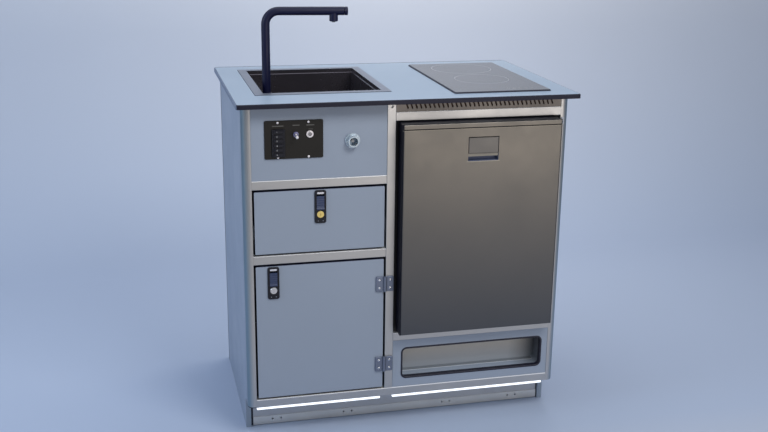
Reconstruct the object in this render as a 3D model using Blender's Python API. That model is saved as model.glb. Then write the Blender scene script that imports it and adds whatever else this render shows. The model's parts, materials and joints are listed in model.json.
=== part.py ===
"""Campervan kitchen pod: an aluminium profile frame that carries a worktop with a sink, a tap and an
induction hob, a control panel, a drawer, a cupboard, a fridge and a niche.

Metres, +Z up. The front faces -Y, +X is to the right, and the origin is on the floor, in the middle of
the worktop's outline.
"""

import math

import bmesh
import bpy
from mathutils import Matrix, Vector

# Clearances
seat = 0.0003
running_clearance = 0.0005
overrun = 0.002

# Frame and bays
profile = 0.025
profile_corner_radius = 0.020
profile_edge_radius = 0.0012
profile_slot_width = 0.006
profile_slot_depth = 0.006
access_hole_radius = 0.005
access_hole_depth = 0.007
plinth_height = 0.101
left_bay_width = 0.383
cupboard_height_share = 0.50885
drawer_height_share = 0.23612
niche_height = 0.1510
fridge_side_space = 0.0083
fridge_top_space = 0.0075
vent_height = 0.029

# Worktop
front_overhang = 0.043
rear_overhang = 0.007
side_overhang = 0.0165
worktop_thickness = 0.013
worktop_corner_radius = 0.008
worktop_edge_radius = 0.0025

# Panels
panel_inset = 0.001
side_thickness = 0.015
kick_setback = 0.080
kick_corner_radius = 0.012
floor_thickness = 0.012
divider_thickness = 0.015
divider_drop = 0.020
rear_thickness = 0.012
rear_inset = 0.002
rear_vent_width = 0.300
rear_vent_slot = 0.008
rear_vent_pitch = 0.020
rear_vent_lift = 0.080
fascia_thickness = 0.015
deck_thickness = 0.015
plinth_setback = 0.0887
plinth_board_thickness = 0.012
plinth_gap = 0.002
plinth_band_height = 0.025
plinth_band_proud = 0.0025
plinth_hole_radius = 0.0032
plinth_hole_spacing = 0.0255
plinth_hole_drop = 0.010
plinth_hole_shares = (0.085, 0.325, 0.669, 0.907)

# Vent strip
vent_thickness = 0.004
vent_slot_length = 0.0185
vent_slot_width = 0.0052
vent_slot_lean = 0.0048
vent_slot_pitch = 0.01304
vent_slot_lift = 0.0072
vent_slot_left_margin = 0.031
vent_slot_right_margin = 0.029

# Niche
niche_left_margin = 0.029
niche_right_margin = 0.022
niche_opening_height = 0.094
niche_opening_lift = 0.0295
niche_corner_radius = 0.014
niche_depth = 0.050
niche_wall = 0.003

# Light strips
light_height = 0.0045
light_depth = 0.012
light_setback = 0.001
light_end_gap = 0.013
light_edge_radius = 0.002

# Sink, waste and tap
sink_width = 0.390
sink_rim = 0.025
sink_sheet = 0.0012
sink_rim_radius = 0.004
sink_corner_radius = 0.005
sink_depth = 0.150
sink_step = 0.0015
sink_step_depth = 0.012
sink_left_offset = 0.051
sink_front_offset = 0.088
sink_cutout_clearance = 0.003
ledge_depth = 0.060
ledge_width = 0.070
waste_radius = 0.022
waste_flange_radius = 0.030
waste_flange = 0.0012
waste_bore_radius = 0.016
waste_nut_radius = 0.028
waste_nut_height = 0.010
waste_tail_radius = 0.020
waste_length = 0.060
tap_distance_from_front = 0.187
tap_tube_radius = 0.0125
tap_flange_radius = 0.021
tap_flange_height = 0.006
tap_collar_radius = 0.0165
tap_collar_height = 0.026
tap_socket_depth = 0.018
tap_shank_radius = 0.010
tap_shank_length = 0.040
tap_height = 0.2215
tap_bend_radius = 0.039
tap_reach = 0.2304
tap_nozzle_reach = 0.2000
tap_swing = math.radians(-6)
tap_nozzle_radius = 0.0128
tap_nozzle_length = 0.017
tap_tip_radius = 0.005
tap_tip_length = 0.003
tap_groove = 0.0011
tap_spigot_radius = 0.006
tap_spigot_length = 0.006
tap_knob_length = 0.010
tap_edge_radius = 0.001

# Hob
hob_width = 0.288
hob_length = 0.520
hob_glass = 0.004
hob_corner_radius = 0.004
hob_edge = 0.001
hob_right_offset = 0.0511
hob_front_offset = 0.022
hob_rear_offset = 0.068
hob_case_border = 0.012
hob_case_height = 0.046
hob_case_radius = 0.006
hob_cutout_clearance = 0.003

# Control panel
plate_width = 0.163
plate_height = 0.1075
plate_thickness = 0.003
plate_radius = 0.004
plate_left_offset = 0.0375
plate_bottom_offset = 0.061
plate_border = 0.012
fuse_width = 0.036
fuse_height = 0.077
fuse_base = 0.005
fuse_proud = 0.004
fuse_cap_width = 0.026
fuse_cap_height = 0.0085
fuse_cap_pitch = 0.0127
fuse_edge = 0.001
fuse_left_offset = 0.0385
fuse_bottom_offset = 0.0455
switch_bottom_offset = 0.068
toggle_left_offset = 0.0865
toggle_nut_radius = 0.0075
toggle_nut_height = 0.0025
toggle_barrel_radius = 0.0058
toggle_barrel_height = 0.007
toggle_barrel_wall = 0.0016
toggle_body_width = 0.013
toggle_body_height = 0.020
toggle_body_depth = 0.016
toggle_ball_radius = 0.0034
toggle_stem_radius = 0.0015
toggle_tip_radius = 0.0024
toggle_lever_length = 0.021
toggle_throw = math.radians(13)
button_left_offset = 0.1256
button_bezel_radius = 0.011
button_bezel_height = 0.0025
button_barrel_radius = 0.0095
button_barrel_depth = 0.018
button_bore_radius = 0.0075
button_cap_proud = 0.0018
button_cap_height = 0.006
button_travel = 0.0015
hose_left_offset = 0.2835
hose_bottom_offset = 0.1045
hose_flange_radius = 0.0215
hose_flange_height = 0.004
hose_hex_radius = 0.0195
hose_hex_height = 0.009
hose_nose_radius = 0.016
hose_nose_height = 0.007
hose_bore_radius = 0.012
hose_bore_depth = 0.028
hose_poppet_radius = 0.0045
hose_poppet_height = 0.013
hose_shank_radius = 0.0165
hose_shank_length = 0.036
hose_barb_radius = 0.009
hose_barb_length = 0.030

# Drawer
reveal = 0.006
door_thickness = 0.015
door_corner_radius = 0.002
drawer_depth = 0.420
drawer_wall = 0.012
drawer_base = 0.009
drawer_lift = 0.012
drawer_box_height = 0.130
drawer_notch_margin = 0.011
runner_space = 0.013
runner_sheet = 0.0015
runner_slide_height = 0.036
runner_slide_thickness = 0.0105
runner_slide_lift = 0.055
runner_length = 0.400
runner_start = 0.003
runner_bracket_length = 0.040
runner_bracket_inset = 0.030

# Latches
latch_width = 0.033
latch_height = 0.096
latch_proud = 0.004
latch_plate_radius = 0.006
latch_edge = 0.001
latch_drop = 0.002
latch_housing_width = 0.028
latch_housing_margin = 0.006
latch_housing_depth = 0.024
latch_cutout_clearance = 0.0005
latch_axis_drop = 0.021
latch_axis_depth = 0.006
latch_pocket_above = 0.0085
latch_pocket_below = 0.0365
latch_pocket_width = 0.0225
latch_side_gap = 0.0005
paddle_top = 0.004
paddle_length = 0.035
paddle_thickness = 0.006
paddle_lip_height = 0.006
paddle_lip_proud = 0.002
paddle_proud = 0.0005
paddle_rib_depth = 0.0008
paddle_rib_count = 4
claw_width = 0.010
claw_arm_height = 0.006
claw_thickness = 0.006
claw_clearance = 0.001
lock_drop = 0.070
lock_radius = 0.010
lock_length = 0.020
lock_proud = 0.001
lock_clearance = 0.0004
keyway_width = 0.0016
keyway_length = 0.009
keyway_depth = 0.003
cupboard_latch_offset = 0.0495

# Cupboard hinges
hinge_leaf_width = 0.0262
hinge_height = 0.046
hinge_leaf_thickness = 0.005
hinge_knuckle_radius = 0.0050
hinge_pin_radius = 0.0024
hinge_pin_clearance = 0.0004
hinge_inset = 0.076
hinge_corner_radius = 0.003
hinge_knuckle_gap = 0.0004

# Fridge
fridge_clearance = 0.003
fridge_width = 0.475
fridge_height = 0.632
fridge_depth = 0.480
fridge_flange = 0.008
fridge_wall = 0.040
fridge_rear_space = 0.080
compressor_height = 0.150
compressor_depth = 0.150
fridge_door_side_gap = 0.0095
fridge_door_top_gap = 0.004
fridge_door_bottom_gap = 0.0075
fridge_door_proud = 0.042
fridge_door_thickness = 0.045
fridge_door_edge_radius = 0.005
fridge_door_rim_radius = 0.002
fridge_groove_drop = 0.0130
fridge_groove_width = 0.0030
fridge_groove_depth = 0.0022
gasket_inset = 0.020
gasket_width = 0.014
gasket_thickness = 0.0095
hinge_axis_inset = 0.010
hinge_axis_depth = 0.022
hinge_arm_thickness = 0.003
hinge_arm_radius = 0.009
hinge_arm_sink = 0.001
hinge_arm_clearance = 0.0006
fridge_pin_radius = 0.0035
fridge_pin_length = 0.012
liner_margin = 0.062
liner_thickness = 0.012
liner_corner_radius = 0.012
bin_height = 0.085
bin_depth = 0.040
bin_wall = 0.003
bin_lift = 0.030
upper_bin_lift = 0.300
handle_width = 0.0905
handle_height = 0.070
handle_drop = 0.041
handle_pocket_depth = 0.020
handle_flap_height = 0.048
handle_gap = 0.0012
handle_sheet = 0.0025
handle_lip_height = 0.009
handle_lip_setback = 0.003
handle_lip_depth = 0.014
handle_axis_depth = 0.004
handle_barrel_radius = 0.003
handle_pin_radius = 0.0015
handle_pin_length = 0.004

# Roundness
corner_steps = 4
round_steps = 32
small_round_steps = 16
round_profile = 0.5
smooth_angle = math.radians(35)

# Sizes that follow from the bought parts
right_bay_width = fridge_width + 2 * fridge_side_space
body_width = 3 * profile + left_bay_width + right_bay_width
body_depth = hob_front_offset + hob_length + hob_rear_offset
sink_length = body_depth - sink_front_offset - hob_rear_offset
niche_opening_width = right_bay_width - niche_left_margin - niche_right_margin
fridge_cavity_depth = fridge_depth - fridge_rear_space

# Places worked out from the sizes
worktop_width = body_width + 2 * side_overhang
worktop_depth = front_overhang + body_depth + rear_overhang
front_y = front_overhang - worktop_depth / 2
rear_y = front_y + body_depth
left_x = -body_width / 2
right_x = body_width / 2
bay_left = left_x + profile
bay_right = bay_left + left_bay_width
fridge_bay_left = bay_right + profile
fridge_bay_right = right_x - profile
cupboard_bottom = plinth_height + profile
niche_top = cupboard_bottom + niche_height
fridge_bottom = niche_top + profile
fridge_top = fridge_bottom + fridge_height + fridge_top_space
vent_bottom = fridge_top + profile
body_top = vent_bottom + vent_height
left_openings = body_top - cupboard_bottom - 2 * profile
cupboard_top = cupboard_bottom + cupboard_height_share * left_openings
drawer_bottom = cupboard_top + profile
drawer_top = drawer_bottom + drawer_height_share * left_openings
fascia_bottom = drawer_top + profile
worktop_bottom = body_top + seat
worktop_top = worktop_bottom + worktop_thickness
inside_left = left_x + panel_inset + side_thickness
inside_right = right_x - panel_inset - side_thickness
inside_front = front_y + profile + seat
inside_rear = rear_y - profile - seat
rear_panel_inner = rear_y - rear_inset - rear_thickness
fascia_front = front_y + panel_inset

# Finishes: colour, roughness, metallic
satin_aluminium = ((0.62, 0.61, 0.58), 0.35, 1.0)
panel_grey = ((0.30, 0.33, 0.39), 0.45, 0.0)
carcass_grey = ((0.32, 0.35, 0.40), 0.55, 0.0)
black_plastic = ((0.015, 0.015, 0.017), 0.4, 0.0)
rubber_black = ((0.012, 0.012, 0.012), 0.75, 0.0)
worktop_blue = ((0.38, 0.45, 0.55), 0.35, 0.0)
gunmetal = ((0.10, 0.10, 0.115), 0.28, 1.0)
matte_black = ((0.012, 0.012, 0.014), 0.45, 0.0)
hob_black = ((0.03, 0.032, 0.036), 0.12, 0.0)
bright_chrome = ((0.80, 0.80, 0.80), 0.12, 1.0)
cast_zinc = ((0.42, 0.42, 0.42), 0.4, 1.0)
nickel = ((0.55, 0.54, 0.51), 0.3, 1.0)
brass = ((0.72, 0.52, 0.16), 0.3, 1.0)
fridge_steel = ((0.22, 0.215, 0.20), 0.38, 0.9)
white_plastic = ((0.75, 0.76, 0.76), 0.4, 0.0)
light_lens = ((0.95, 0.97, 1.0), 0.3, 0.0)


# Scene helpers

def clear_scene():
    for old in list(bpy.data.objects):
        bpy.data.objects.remove(old, do_unlink=True)


def material_for(name, finish):
    colour, roughness, metallic = finish
    material = bpy.data.materials.new(name + "_finish")
    material.use_nodes = True
    material.diffuse_color = (*colour, 1.0)
    shader = material.node_tree.nodes["Principled BSDF"]
    shader.inputs["Base Color"].default_value = (*colour, 1.0)
    shader.inputs["Roughness"].default_value = roughness
    shader.inputs["Metallic"].default_value = metallic
    return material


def middle_of(bm):
    """The middle of the box round a mesh, where a fixed piece has its origin."""
    low = Vector([min(v.co[i] for v in bm.verts) for i in range(3)])
    high = Vector([max(v.co[i] for v in bm.verts) for i in range(3)])
    return (low + high) / 2


def add_piece(name, bm, finish, pivot=None, smooth=False):
    """One sub-part: its mesh, its own material, and its origin in its middle or on its joint's axis."""
    bmesh.ops.recalc_face_normals(bm, faces=bm.faces)
    origin = Vector(pivot) if pivot else middle_of(bm)
    bmesh.ops.translate(bm, verts=bm.verts, vec=-origin)
    mesh = bpy.data.meshes.new(name)
    bm.to_mesh(mesh)
    bm.free()
    if smooth:
        mesh.shade_smooth()
        mesh.set_sharp_from_angle(angle=smooth_angle)
    piece = bpy.data.objects.new(name, mesh)
    piece.location = origin
    bpy.context.collection.objects.link(piece)
    if finish:
        mesh.materials.append(material_for(name, finish))
    return piece


def add_tool(name, bm):
    """A helper solid for a Boolean, left out of the render."""
    tool = add_piece(name, bm, None)
    tool.hide_render = True
    tool.display_type = "WIRE"
    return tool


def boolean(piece, tool_mesh, operation):
    tool = add_tool(f"{piece.name}_tool_{len(piece.modifiers) + 1}", tool_mesh)
    modifier = piece.modifiers.new(tool.name, "BOOLEAN")
    modifier.operation = operation
    modifier.solver = "EXACT"
    modifier.object = tool
    return modifier


def cut(piece, *tool_meshes):
    for tool_mesh in tool_meshes:
        boolean(piece, tool_mesh, "DIFFERENCE")


def weld_on(piece, *tool_meshes):
    for tool_mesh in tool_meshes:
        boolean(piece, tool_mesh, "UNION")


def parent_to(child, parent):
    child.parent = parent
    child.matrix_parent_inverse = parent.matrix_basis.inverted()


# Outlines and solids

def on_axis(point, axis, place):
    """A point of a flat outline, at a place along the axis that the outline is square to."""
    if axis == "x":
        return Vector((place, point[0], point[1]))
    if axis == "y":
        return Vector((point[0], place, point[1]))
    return Vector((point[0], point[1], place))


def arc(centre, radius, start, sweep, steps):
    """Points along an arc, in degrees, both ends included."""
    angles = [math.radians(start + sweep * k / steps) for k in range(steps + 1)]
    return [(centre[0] + radius * math.cos(a), centre[1] + radius * math.sin(a)) for a in angles]


def round_rectangle(centre, width, height, radius, steps=corner_steps):
    points = []
    for turn, (side_a, side_b) in enumerate(((1, 1), (-1, 1), (-1, -1), (1, -1))):
        a = centre[0] + side_a * (width / 2 - radius)
        b = centre[1] + side_b * (height / 2 - radius)
        points += arc((a, b), radius, 90 * turn, 90, steps)
    return points


def rectangle(low, high):
    return [(low[0], low[1]), (high[0], low[1]), (high[0], high[1]), (low[0], high[1])]


def circle(centre, radius, steps):
    return arc(centre, radius, 0, 360, steps)[:-1]


def prism(loops, axis, start, end):
    """A closed solid from an outline, and the outlines of its holes, pulled along an axis."""
    bm = bmesh.new()
    rims = ([], [])
    for loop in loops:
        near = [bm.verts.new(on_axis(point, axis, start)) for point in loop]
        far = [bm.verts.new(on_axis(point, axis, end)) for point in loop]
        for k in range(len(loop)):
            after = (k + 1) % len(loop)
            bm.faces.new((near[k], near[after], far[after], far[k]))
            rims[0].append(bm.edges.get((near[k], near[after])))
            rims[1].append(bm.edges.get((far[k], far[after])))
    for rim in rims:
        bmesh.ops.triangle_fill(bm, use_beauty=True, edges=rim)
    bmesh.ops.recalc_face_normals(bm, faces=bm.faces)
    return bm


def stack(sections, axis):
    """A closed solid through outlines of equal point counts, each with its place along the axis."""
    bm = bmesh.new()
    rings = [[bm.verts.new(on_axis(point, axis, place)) for point in loop] for loop, place in sections]
    for ring, following in zip(rings, rings[1:]):
        for k in range(len(ring)):
            after = (k + 1) % len(ring)
            bm.faces.new((ring[k], ring[after], following[after], following[k]))
    bm.faces.new(rings[0])
    bm.faces.new(rings[-1])
    bmesh.ops.recalc_face_normals(bm, faces=bm.faces)
    return bm


def block(low, high, edge=0, segments=2):
    """A box between two corners, with its edges rounded if an edge radius is given."""
    bm = bmesh.new()
    bmesh.ops.create_cube(bm, size=1)
    low, high = Vector(low), Vector(high)
    bmesh.ops.scale(bm, vec=high - low, verts=bm.verts)
    bmesh.ops.translate(bm, vec=(low + high) / 2, verts=bm.verts)
    if edge:
        bmesh.ops.bevel(bm, geom=bm.edges, offset=edge, segments=segments, profile=round_profile,
                         affect="EDGES")
    return bm


def plate(centre, width, height, radius, axis, front, back, edge):
    """A round-cornered plate whose front rim is bevelled."""
    step_in = edge if back > front else -edge
    slim = round_rectangle(centre, width - 2 * edge, height - 2 * edge, radius)
    full = round_rectangle(centre, width, height, radius)
    return stack([(slim, front), (full, front + step_in), (full, back)], axis)


def rounded_front(low, high, side_radius, end_radius):
    """A box whose front face rolls over to its sides and its ends."""
    sections = []
    for k in range(corner_steps + 1):
        angle = math.pi / 2 * k / corner_steps
        tuck = 1 - math.sin(angle)
        x, z = side_radius * tuck, end_radius * tuck
        outline = rectangle((low[0] + x, low[2] + z), (high[0] - x, high[2] - z))
        sections.append((outline, low[1] + side_radius * (1 - math.cos(angle))))
    sections.append((rectangle((low[0], low[2]), (high[0], high[2])), high[1]))
    return stack(sections, "y")


def turned(profile_points, axis, centre, steps=round_steps):
    """A solid of revolution. The profile is (radius, place along the axis), from axis to axis."""
    bm = bmesh.new()
    verts = [bm.verts.new((radius, 0, place)) for radius, place in profile_points]
    edges = [bm.edges.new(pair) for pair in zip(verts, verts[1:])]
    bmesh.ops.spin(bm, geom=verts + edges, cent=(0, 0, 0), axis=(0, 0, 1), angle=2 * math.pi,
                   steps=steps, use_merge=True)
    bmesh.ops.remove_doubles(bm, verts=bm.verts, dist=seat / 100)
    bmesh.ops.recalc_face_normals(bm, faces=bm.faces)
    turns = {"x": Matrix.Rotation(math.pi / 2, 3, "Y"), "y": Matrix.Rotation(-math.pi / 2, 3, "X"),
             "z": Matrix.Identity(3)}
    bmesh.ops.rotate(bm, cent=(0, 0, 0), matrix=turns[axis], verts=bm.verts)
    bmesh.ops.translate(bm, vec=centre, verts=bm.verts)
    return bm


def rod(axis, centre, radius, start, end, steps=small_round_steps):
    """A plain cylinder along an axis, from one place to another measured from its centre point."""
    return turned([(0, start), (radius, start), (radius, end), (0, end)], axis, centre, steps)


def swept_tube(path, radius, steps):
    """A round bar along a path that lies in a plane y = constant."""
    bm = bmesh.new()
    rings = []
    for k, point in enumerate(path):
        before = path[max(k - 1, 0)]
        after = path[min(k + 1, len(path) - 1)]
        along = (after - before).normalized()
        across = Vector((0, 1, 0)).cross(along)
        ring = []
        for j in range(steps):
            angle = 2 * math.pi * j / steps
            offset = across * math.cos(angle) + Vector((0, 1, 0)) * math.sin(angle)
            ring.append(bm.verts.new(point + radius * offset))
        rings.append(ring)
    for ring, following in zip(rings, rings[1:]):
        for j in range(steps):
            after = (j + 1) % steps
            bm.faces.new((ring[j], ring[after], following[after], following[j]))
    bm.faces.new(rings[0])
    bm.faces.new(rings[-1])
    bmesh.ops.recalc_face_normals(bm, faces=bm.faces)
    return bm


# Aluminium frame

def corner_post_outline(side_a, side_b):
    """The corner section: one rounded outer corner, and a slot in each face that looks inwards."""
    middle = profile / 2
    low, high = middle - profile_slot_width / 2, middle + profile_slot_width / 2
    deep = profile - profile_slot_depth
    radius = profile_corner_radius
    local = [(profile, 0), (profile, low), (deep, low), (deep, high), (profile, high), (profile, profile),
             (high, profile), (high, deep), (low, deep), (low, profile), (0, profile)]
    local += arc((radius, radius), radius, 180, 90, 2 * corner_steps)
    corner_x = left_x if side_a > 0 else right_x
    corner_y = front_y if side_b > 0 else rear_y
    return [(corner_x + side_a * a, corner_y + side_b * b) for a, b in local]


def slotted_square(corner, away):
    """The straight section: eased edges, and a slot in the face that points away from the front."""
    a0, b0 = corner
    middle = b0 + profile / 2
    low, high = middle - profile_slot_width / 2, middle + profile_slot_width / 2
    radius = profile_edge_radius
    points = []
    points += arc((a0 + radius, b0 + radius), radius, 180, 90, 2)
    points += arc((a0 + profile - radius, b0 + radius), radius, 270, 90, 2)
    points += [(a0 + profile, low), (a0 + profile - profile_slot_depth, low)]
    points += [(a0 + profile - profile_slot_depth, high), (a0 + profile, high)]
    points += arc((a0 + profile - radius, b0 + profile - radius), radius, 0, 90, 2)
    points += arc((a0 + radius, b0 + profile - radius), radius, 90, 90, 2)
    if away < 0:
        centre = a0 + profile / 2
        points = [(2 * centre - a, b) for a, b in points]
    return points


def build_posts():
    front_left = prism([corner_post_outline(1, 1)], "z", plinth_height, body_top)
    add_piece("front_post_left", front_left, satin_aluminium, smooth=True)
    front_right = prism([corner_post_outline(-1, 1)], "z", plinth_height, body_top)
    add_piece("front_post_right", front_right, satin_aluminium, smooth=True)
    rear_left = prism([corner_post_outline(1, -1)], "z", 0, body_top)
    add_piece("rear_post_left", rear_left, satin_aluminium, smooth=True)
    rear_right = prism([corner_post_outline(-1, -1)], "z", 0, body_top)
    add_piece("rear_post_right", rear_right, satin_aluminium, smooth=True)
    outline = [(x, y) for y, x in slotted_square((front_y, bay_right), 1)]
    middle = prism([outline], "z", cupboard_bottom + seat, body_top)
    post = add_piece("front_post_middle", middle, satin_aluminium)
    hole_centre = (bay_right + profile / 2, front_y, body_top - profile / 2)
    cut(post, rod("y", hole_centre, access_hole_radius, -overrun, access_hole_depth))


def add_rail(name, x0, x1, y0, z0, away):
    bar = prism([slotted_square((y0, z0), away)], "x", x0 + seat, x1 - seat)
    add_piece(name, bar, satin_aluminium)


def build_rails():
    add_rail("bottom_rail_front", bay_left, fridge_bay_right, front_y, plinth_height, 1)
    add_rail("middle_rail_left", bay_left, bay_right, front_y, cupboard_top, 1)
    add_rail("upper_rail_left", bay_left, bay_right, front_y, drawer_top, 1)
    add_rail("fridge_rail", fridge_bay_left, fridge_bay_right, front_y, niche_top, 1)
    add_rail("top_rail_right", fridge_bay_left, fridge_bay_right, front_y, fridge_top, 1)
    add_rail("rear_rail_bottom", bay_left, fridge_bay_right, rear_y - profile, plinth_height, -1)
    add_rail("rear_rail_top", bay_left, fridge_bay_right, rear_y - profile, body_top - profile, -1)


# Panels

def side_outline():
    """The side wall: full height behind the toe kick, and up from the plinth at the front."""
    kick = front_y + kick_setback
    top = body_top
    inner_corner = (kick - kick_corner_radius, plinth_height - kick_corner_radius)
    points = [(inside_front, plinth_height)]
    points += arc(inner_corner, kick_corner_radius, 90, -90, corner_steps)
    points += [(kick, 0), (inside_rear, 0), (inside_rear, top), (inside_front, top)]
    return points


def build_side_panels():
    left = prism([side_outline()], "x", left_x + panel_inset, inside_left)
    add_piece("side_panel_left", left, panel_grey)
    right = prism([side_outline()], "x", inside_right, right_x - panel_inset)
    add_piece("side_panel_right", right, panel_grey)


def build_floor_panel():
    low = (inside_left + seat, inside_front, cupboard_bottom - floor_thickness)
    high = (inside_right - seat, inside_rear, cupboard_bottom)
    add_piece("floor_panel", block(low, high), carcass_grey)


def build_divider():
    top = worktop_top - sink_depth - divider_drop
    low = (bay_right, inside_front, cupboard_bottom + seat)
    high = (bay_right + divider_thickness, rear_panel_inner - seat, top)
    add_piece("divider_panel", block(low, high), carcass_grey)


def build_rear_panel():
    outline = rectangle((bay_left + seat, cupboard_bottom + seat),
                        (fridge_bay_right - seat, body_top - profile - seat))
    centre_x = (fridge_bay_left + fridge_bay_right) / 2
    rows = int(compressor_height / rear_vent_pitch)
    left, right = centre_x - rear_vent_width / 2, centre_x + rear_vent_width / 2
    slots = []
    for row in range(rows):
        z = fridge_bottom + rear_vent_lift + row * rear_vent_pitch
        slots.append(rectangle((left, z), (right, z + rear_vent_slot)))
    panel = prism([outline] + slots, "y", rear_panel_inner, rear_y - rear_inset)
    add_piece("rear_panel", panel, carcass_grey)


def plate_centre():
    x = bay_left + plate_left_offset + plate_width / 2
    return x, fascia_bottom + plate_bottom_offset + plate_height / 2


def hose_centre():
    return (bay_left + hose_left_offset, fascia_bottom + hose_bottom_offset)


def build_fascia():
    outline = rectangle((bay_left + seat, fascia_bottom + seat), (bay_right - seat, body_top))
    window = round_rectangle(plate_centre(), plate_width - 2 * plate_border, plate_height - 2 * plate_border,
                             plate_radius)
    hole = circle(hose_centre(), hose_shank_radius + running_clearance, round_steps)
    panel = prism([outline, window, hole], "y", fascia_front, fascia_front + fascia_thickness)
    add_piece("fascia_panel", panel, panel_grey)


def niche_outline():
    centre = (fridge_bay_left + niche_left_margin + niche_opening_width / 2,
              cupboard_bottom + niche_opening_lift + niche_opening_height / 2)
    return round_rectangle(centre, niche_opening_width, niche_opening_height, niche_corner_radius), centre


def build_niche():
    opening, centre = niche_outline()
    outline = rectangle((fridge_bay_left + seat, cupboard_bottom + seat),
                        (fridge_bay_right - seat, niche_top - seat))
    back = fascia_front + fascia_thickness
    panel = prism([outline, opening], "y", fascia_front, back)
    add_piece("niche_panel", panel, panel_grey)
    box_front = back + seat
    box_back = box_front + niche_depth
    outer = round_rectangle(centre, niche_opening_width + 2 * niche_wall,
                            niche_opening_height + 2 * niche_wall, niche_corner_radius + niche_wall)
    box = add_piece("niche_box", stack([(outer, box_front), (outer, box_back)], "y"), carcass_grey)
    cut(box, stack([(opening, box_front - overrun), (opening, box_back - niche_wall)], "y"))


def build_vent_strip():
    x0, x1 = fridge_bay_left + seat, fridge_bay_right - seat
    z0, z1 = vent_bottom + seat, body_top
    middle = z0 + vent_slot_lift + vent_slot_length / 2
    slots = []
    first = x0 + vent_slot_left_margin
    count = int((x1 - vent_slot_right_margin - first) / vent_slot_pitch) + 1
    lean = vent_slot_lean / 2
    half = (vent_slot_length - vent_slot_width) / 2
    for k in range(count):
        x = first + k * vent_slot_pitch
        upper = arc((x - lean, middle + half), vent_slot_width / 2, 0, 180, 3)
        lower = arc((x + lean, middle - half), vent_slot_width / 2, 180, 180, 3)
        slots.append(upper + lower)
    strip = prism([rectangle((x0, z0), (x1, z1))] + slots, "y", fascia_front, fascia_front + vent_thickness)
    add_piece("vent_strip", strip, satin_aluminium)


def build_fridge_deck():
    low = (bay_right + divider_thickness + seat, inside_front, fridge_bottom - deck_thickness)
    high = (inside_right - seat, inside_rear, fridge_bottom)
    add_piece("fridge_deck", block(low, high), carcass_grey)


def build_plinth():
    face = front_y + plinth_setback
    back = face + plinth_board_thickness
    band_top = plinth_gap + plinth_band_height
    outline = [(face - plinth_band_proud, plinth_gap), (back, plinth_gap), (back, plinth_height - seat),
               (face, plinth_height - seat), (face, band_top), (face - plinth_band_proud, band_top)]
    x0, x1 = inside_left + seat, inside_right - seat
    board = add_piece("plinth_board", prism([outline], "x", x0, x1), satin_aluminium)
    z = band_top - plinth_hole_drop
    holes = bmesh.new()
    for share in plinth_hole_shares:
        for side in (-1, 1):
            x = x0 + share * (x1 - x0) + side * plinth_hole_spacing / 2
            hole = rod("y", (x, face, z), plinth_hole_radius, -plinth_band_proud - overrun,
                       plinth_board_thickness + overrun, small_round_steps // 2)
            merge_into(holes, hole)
    cut(board, holes)


def merge_into(target, source):
    """Adds one mesh to another that holds several separate shapes."""
    mesh = bpy.data.meshes.new("merged")
    source.to_mesh(mesh)
    source.free()
    target.from_mesh(mesh)
    bpy.data.meshes.remove(mesh)


def build_light_strips():
    spans = {"light_strip_left": (bay_left, bay_right - light_end_gap),
             "light_strip_right": (bay_right + profile, fridge_bay_right - light_end_gap)}
    for name, (x0, x1) in spans.items():
        low = (x0 + seat, front_y + light_setback, plinth_height - seat - light_height)
        high = (x1, front_y + light_setback + light_depth, plinth_height - seat)
        add_piece(name, block(low, high, light_edge_radius), light_lens)


# Worktop, sink, tap and hob

def sink_centre():
    x = left_x + sink_left_offset + sink_width / 2
    y = front_y + sink_front_offset + sink_length / 2
    return x, y


def hob_centre():
    x = right_x - hob_right_offset - hob_width / 2
    y = front_y + hob_front_offset + hob_length / 2
    return x, y


def bowl_size():
    return sink_width - 2 * sink_rim, sink_length - 2 * sink_rim


def build_worktop():
    slab = plate((0, 0), worktop_width, worktop_depth, worktop_corner_radius, "z", worktop_top,
                 worktop_bottom, worktop_edge_radius)
    worktop = add_piece("worktop", slab, worktop_blue)
    bowl_width, bowl_length = bowl_size()
    spread = 2 * (sink_sheet + sink_cutout_clearance)
    sink_hole = round_rectangle(sink_centre(), bowl_width + spread, bowl_length + spread, sink_corner_radius)
    hob_hole = round_rectangle(hob_centre(), hob_width - 2 * hob_case_border + 2 * hob_cutout_clearance,
                               hob_length - 2 * hob_case_border + 2 * hob_cutout_clearance, hob_case_radius)
    low, high = worktop_bottom - overrun, worktop_top + overrun
    cut(worktop, stack([(sink_hole, low), (sink_hole, high)], "z"),
        stack([(hob_hole, low), (hob_hole, high)], "z"))


def main_bowl():
    """Centre and size of the deep part of the bowl, right of the tap ledge."""
    bowl_width, bowl_length = bowl_size()
    x, y = sink_centre()
    step = 2 * sink_step
    return (x + ledge_width / 2, y), bowl_width - step - ledge_width, bowl_length - step


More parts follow.
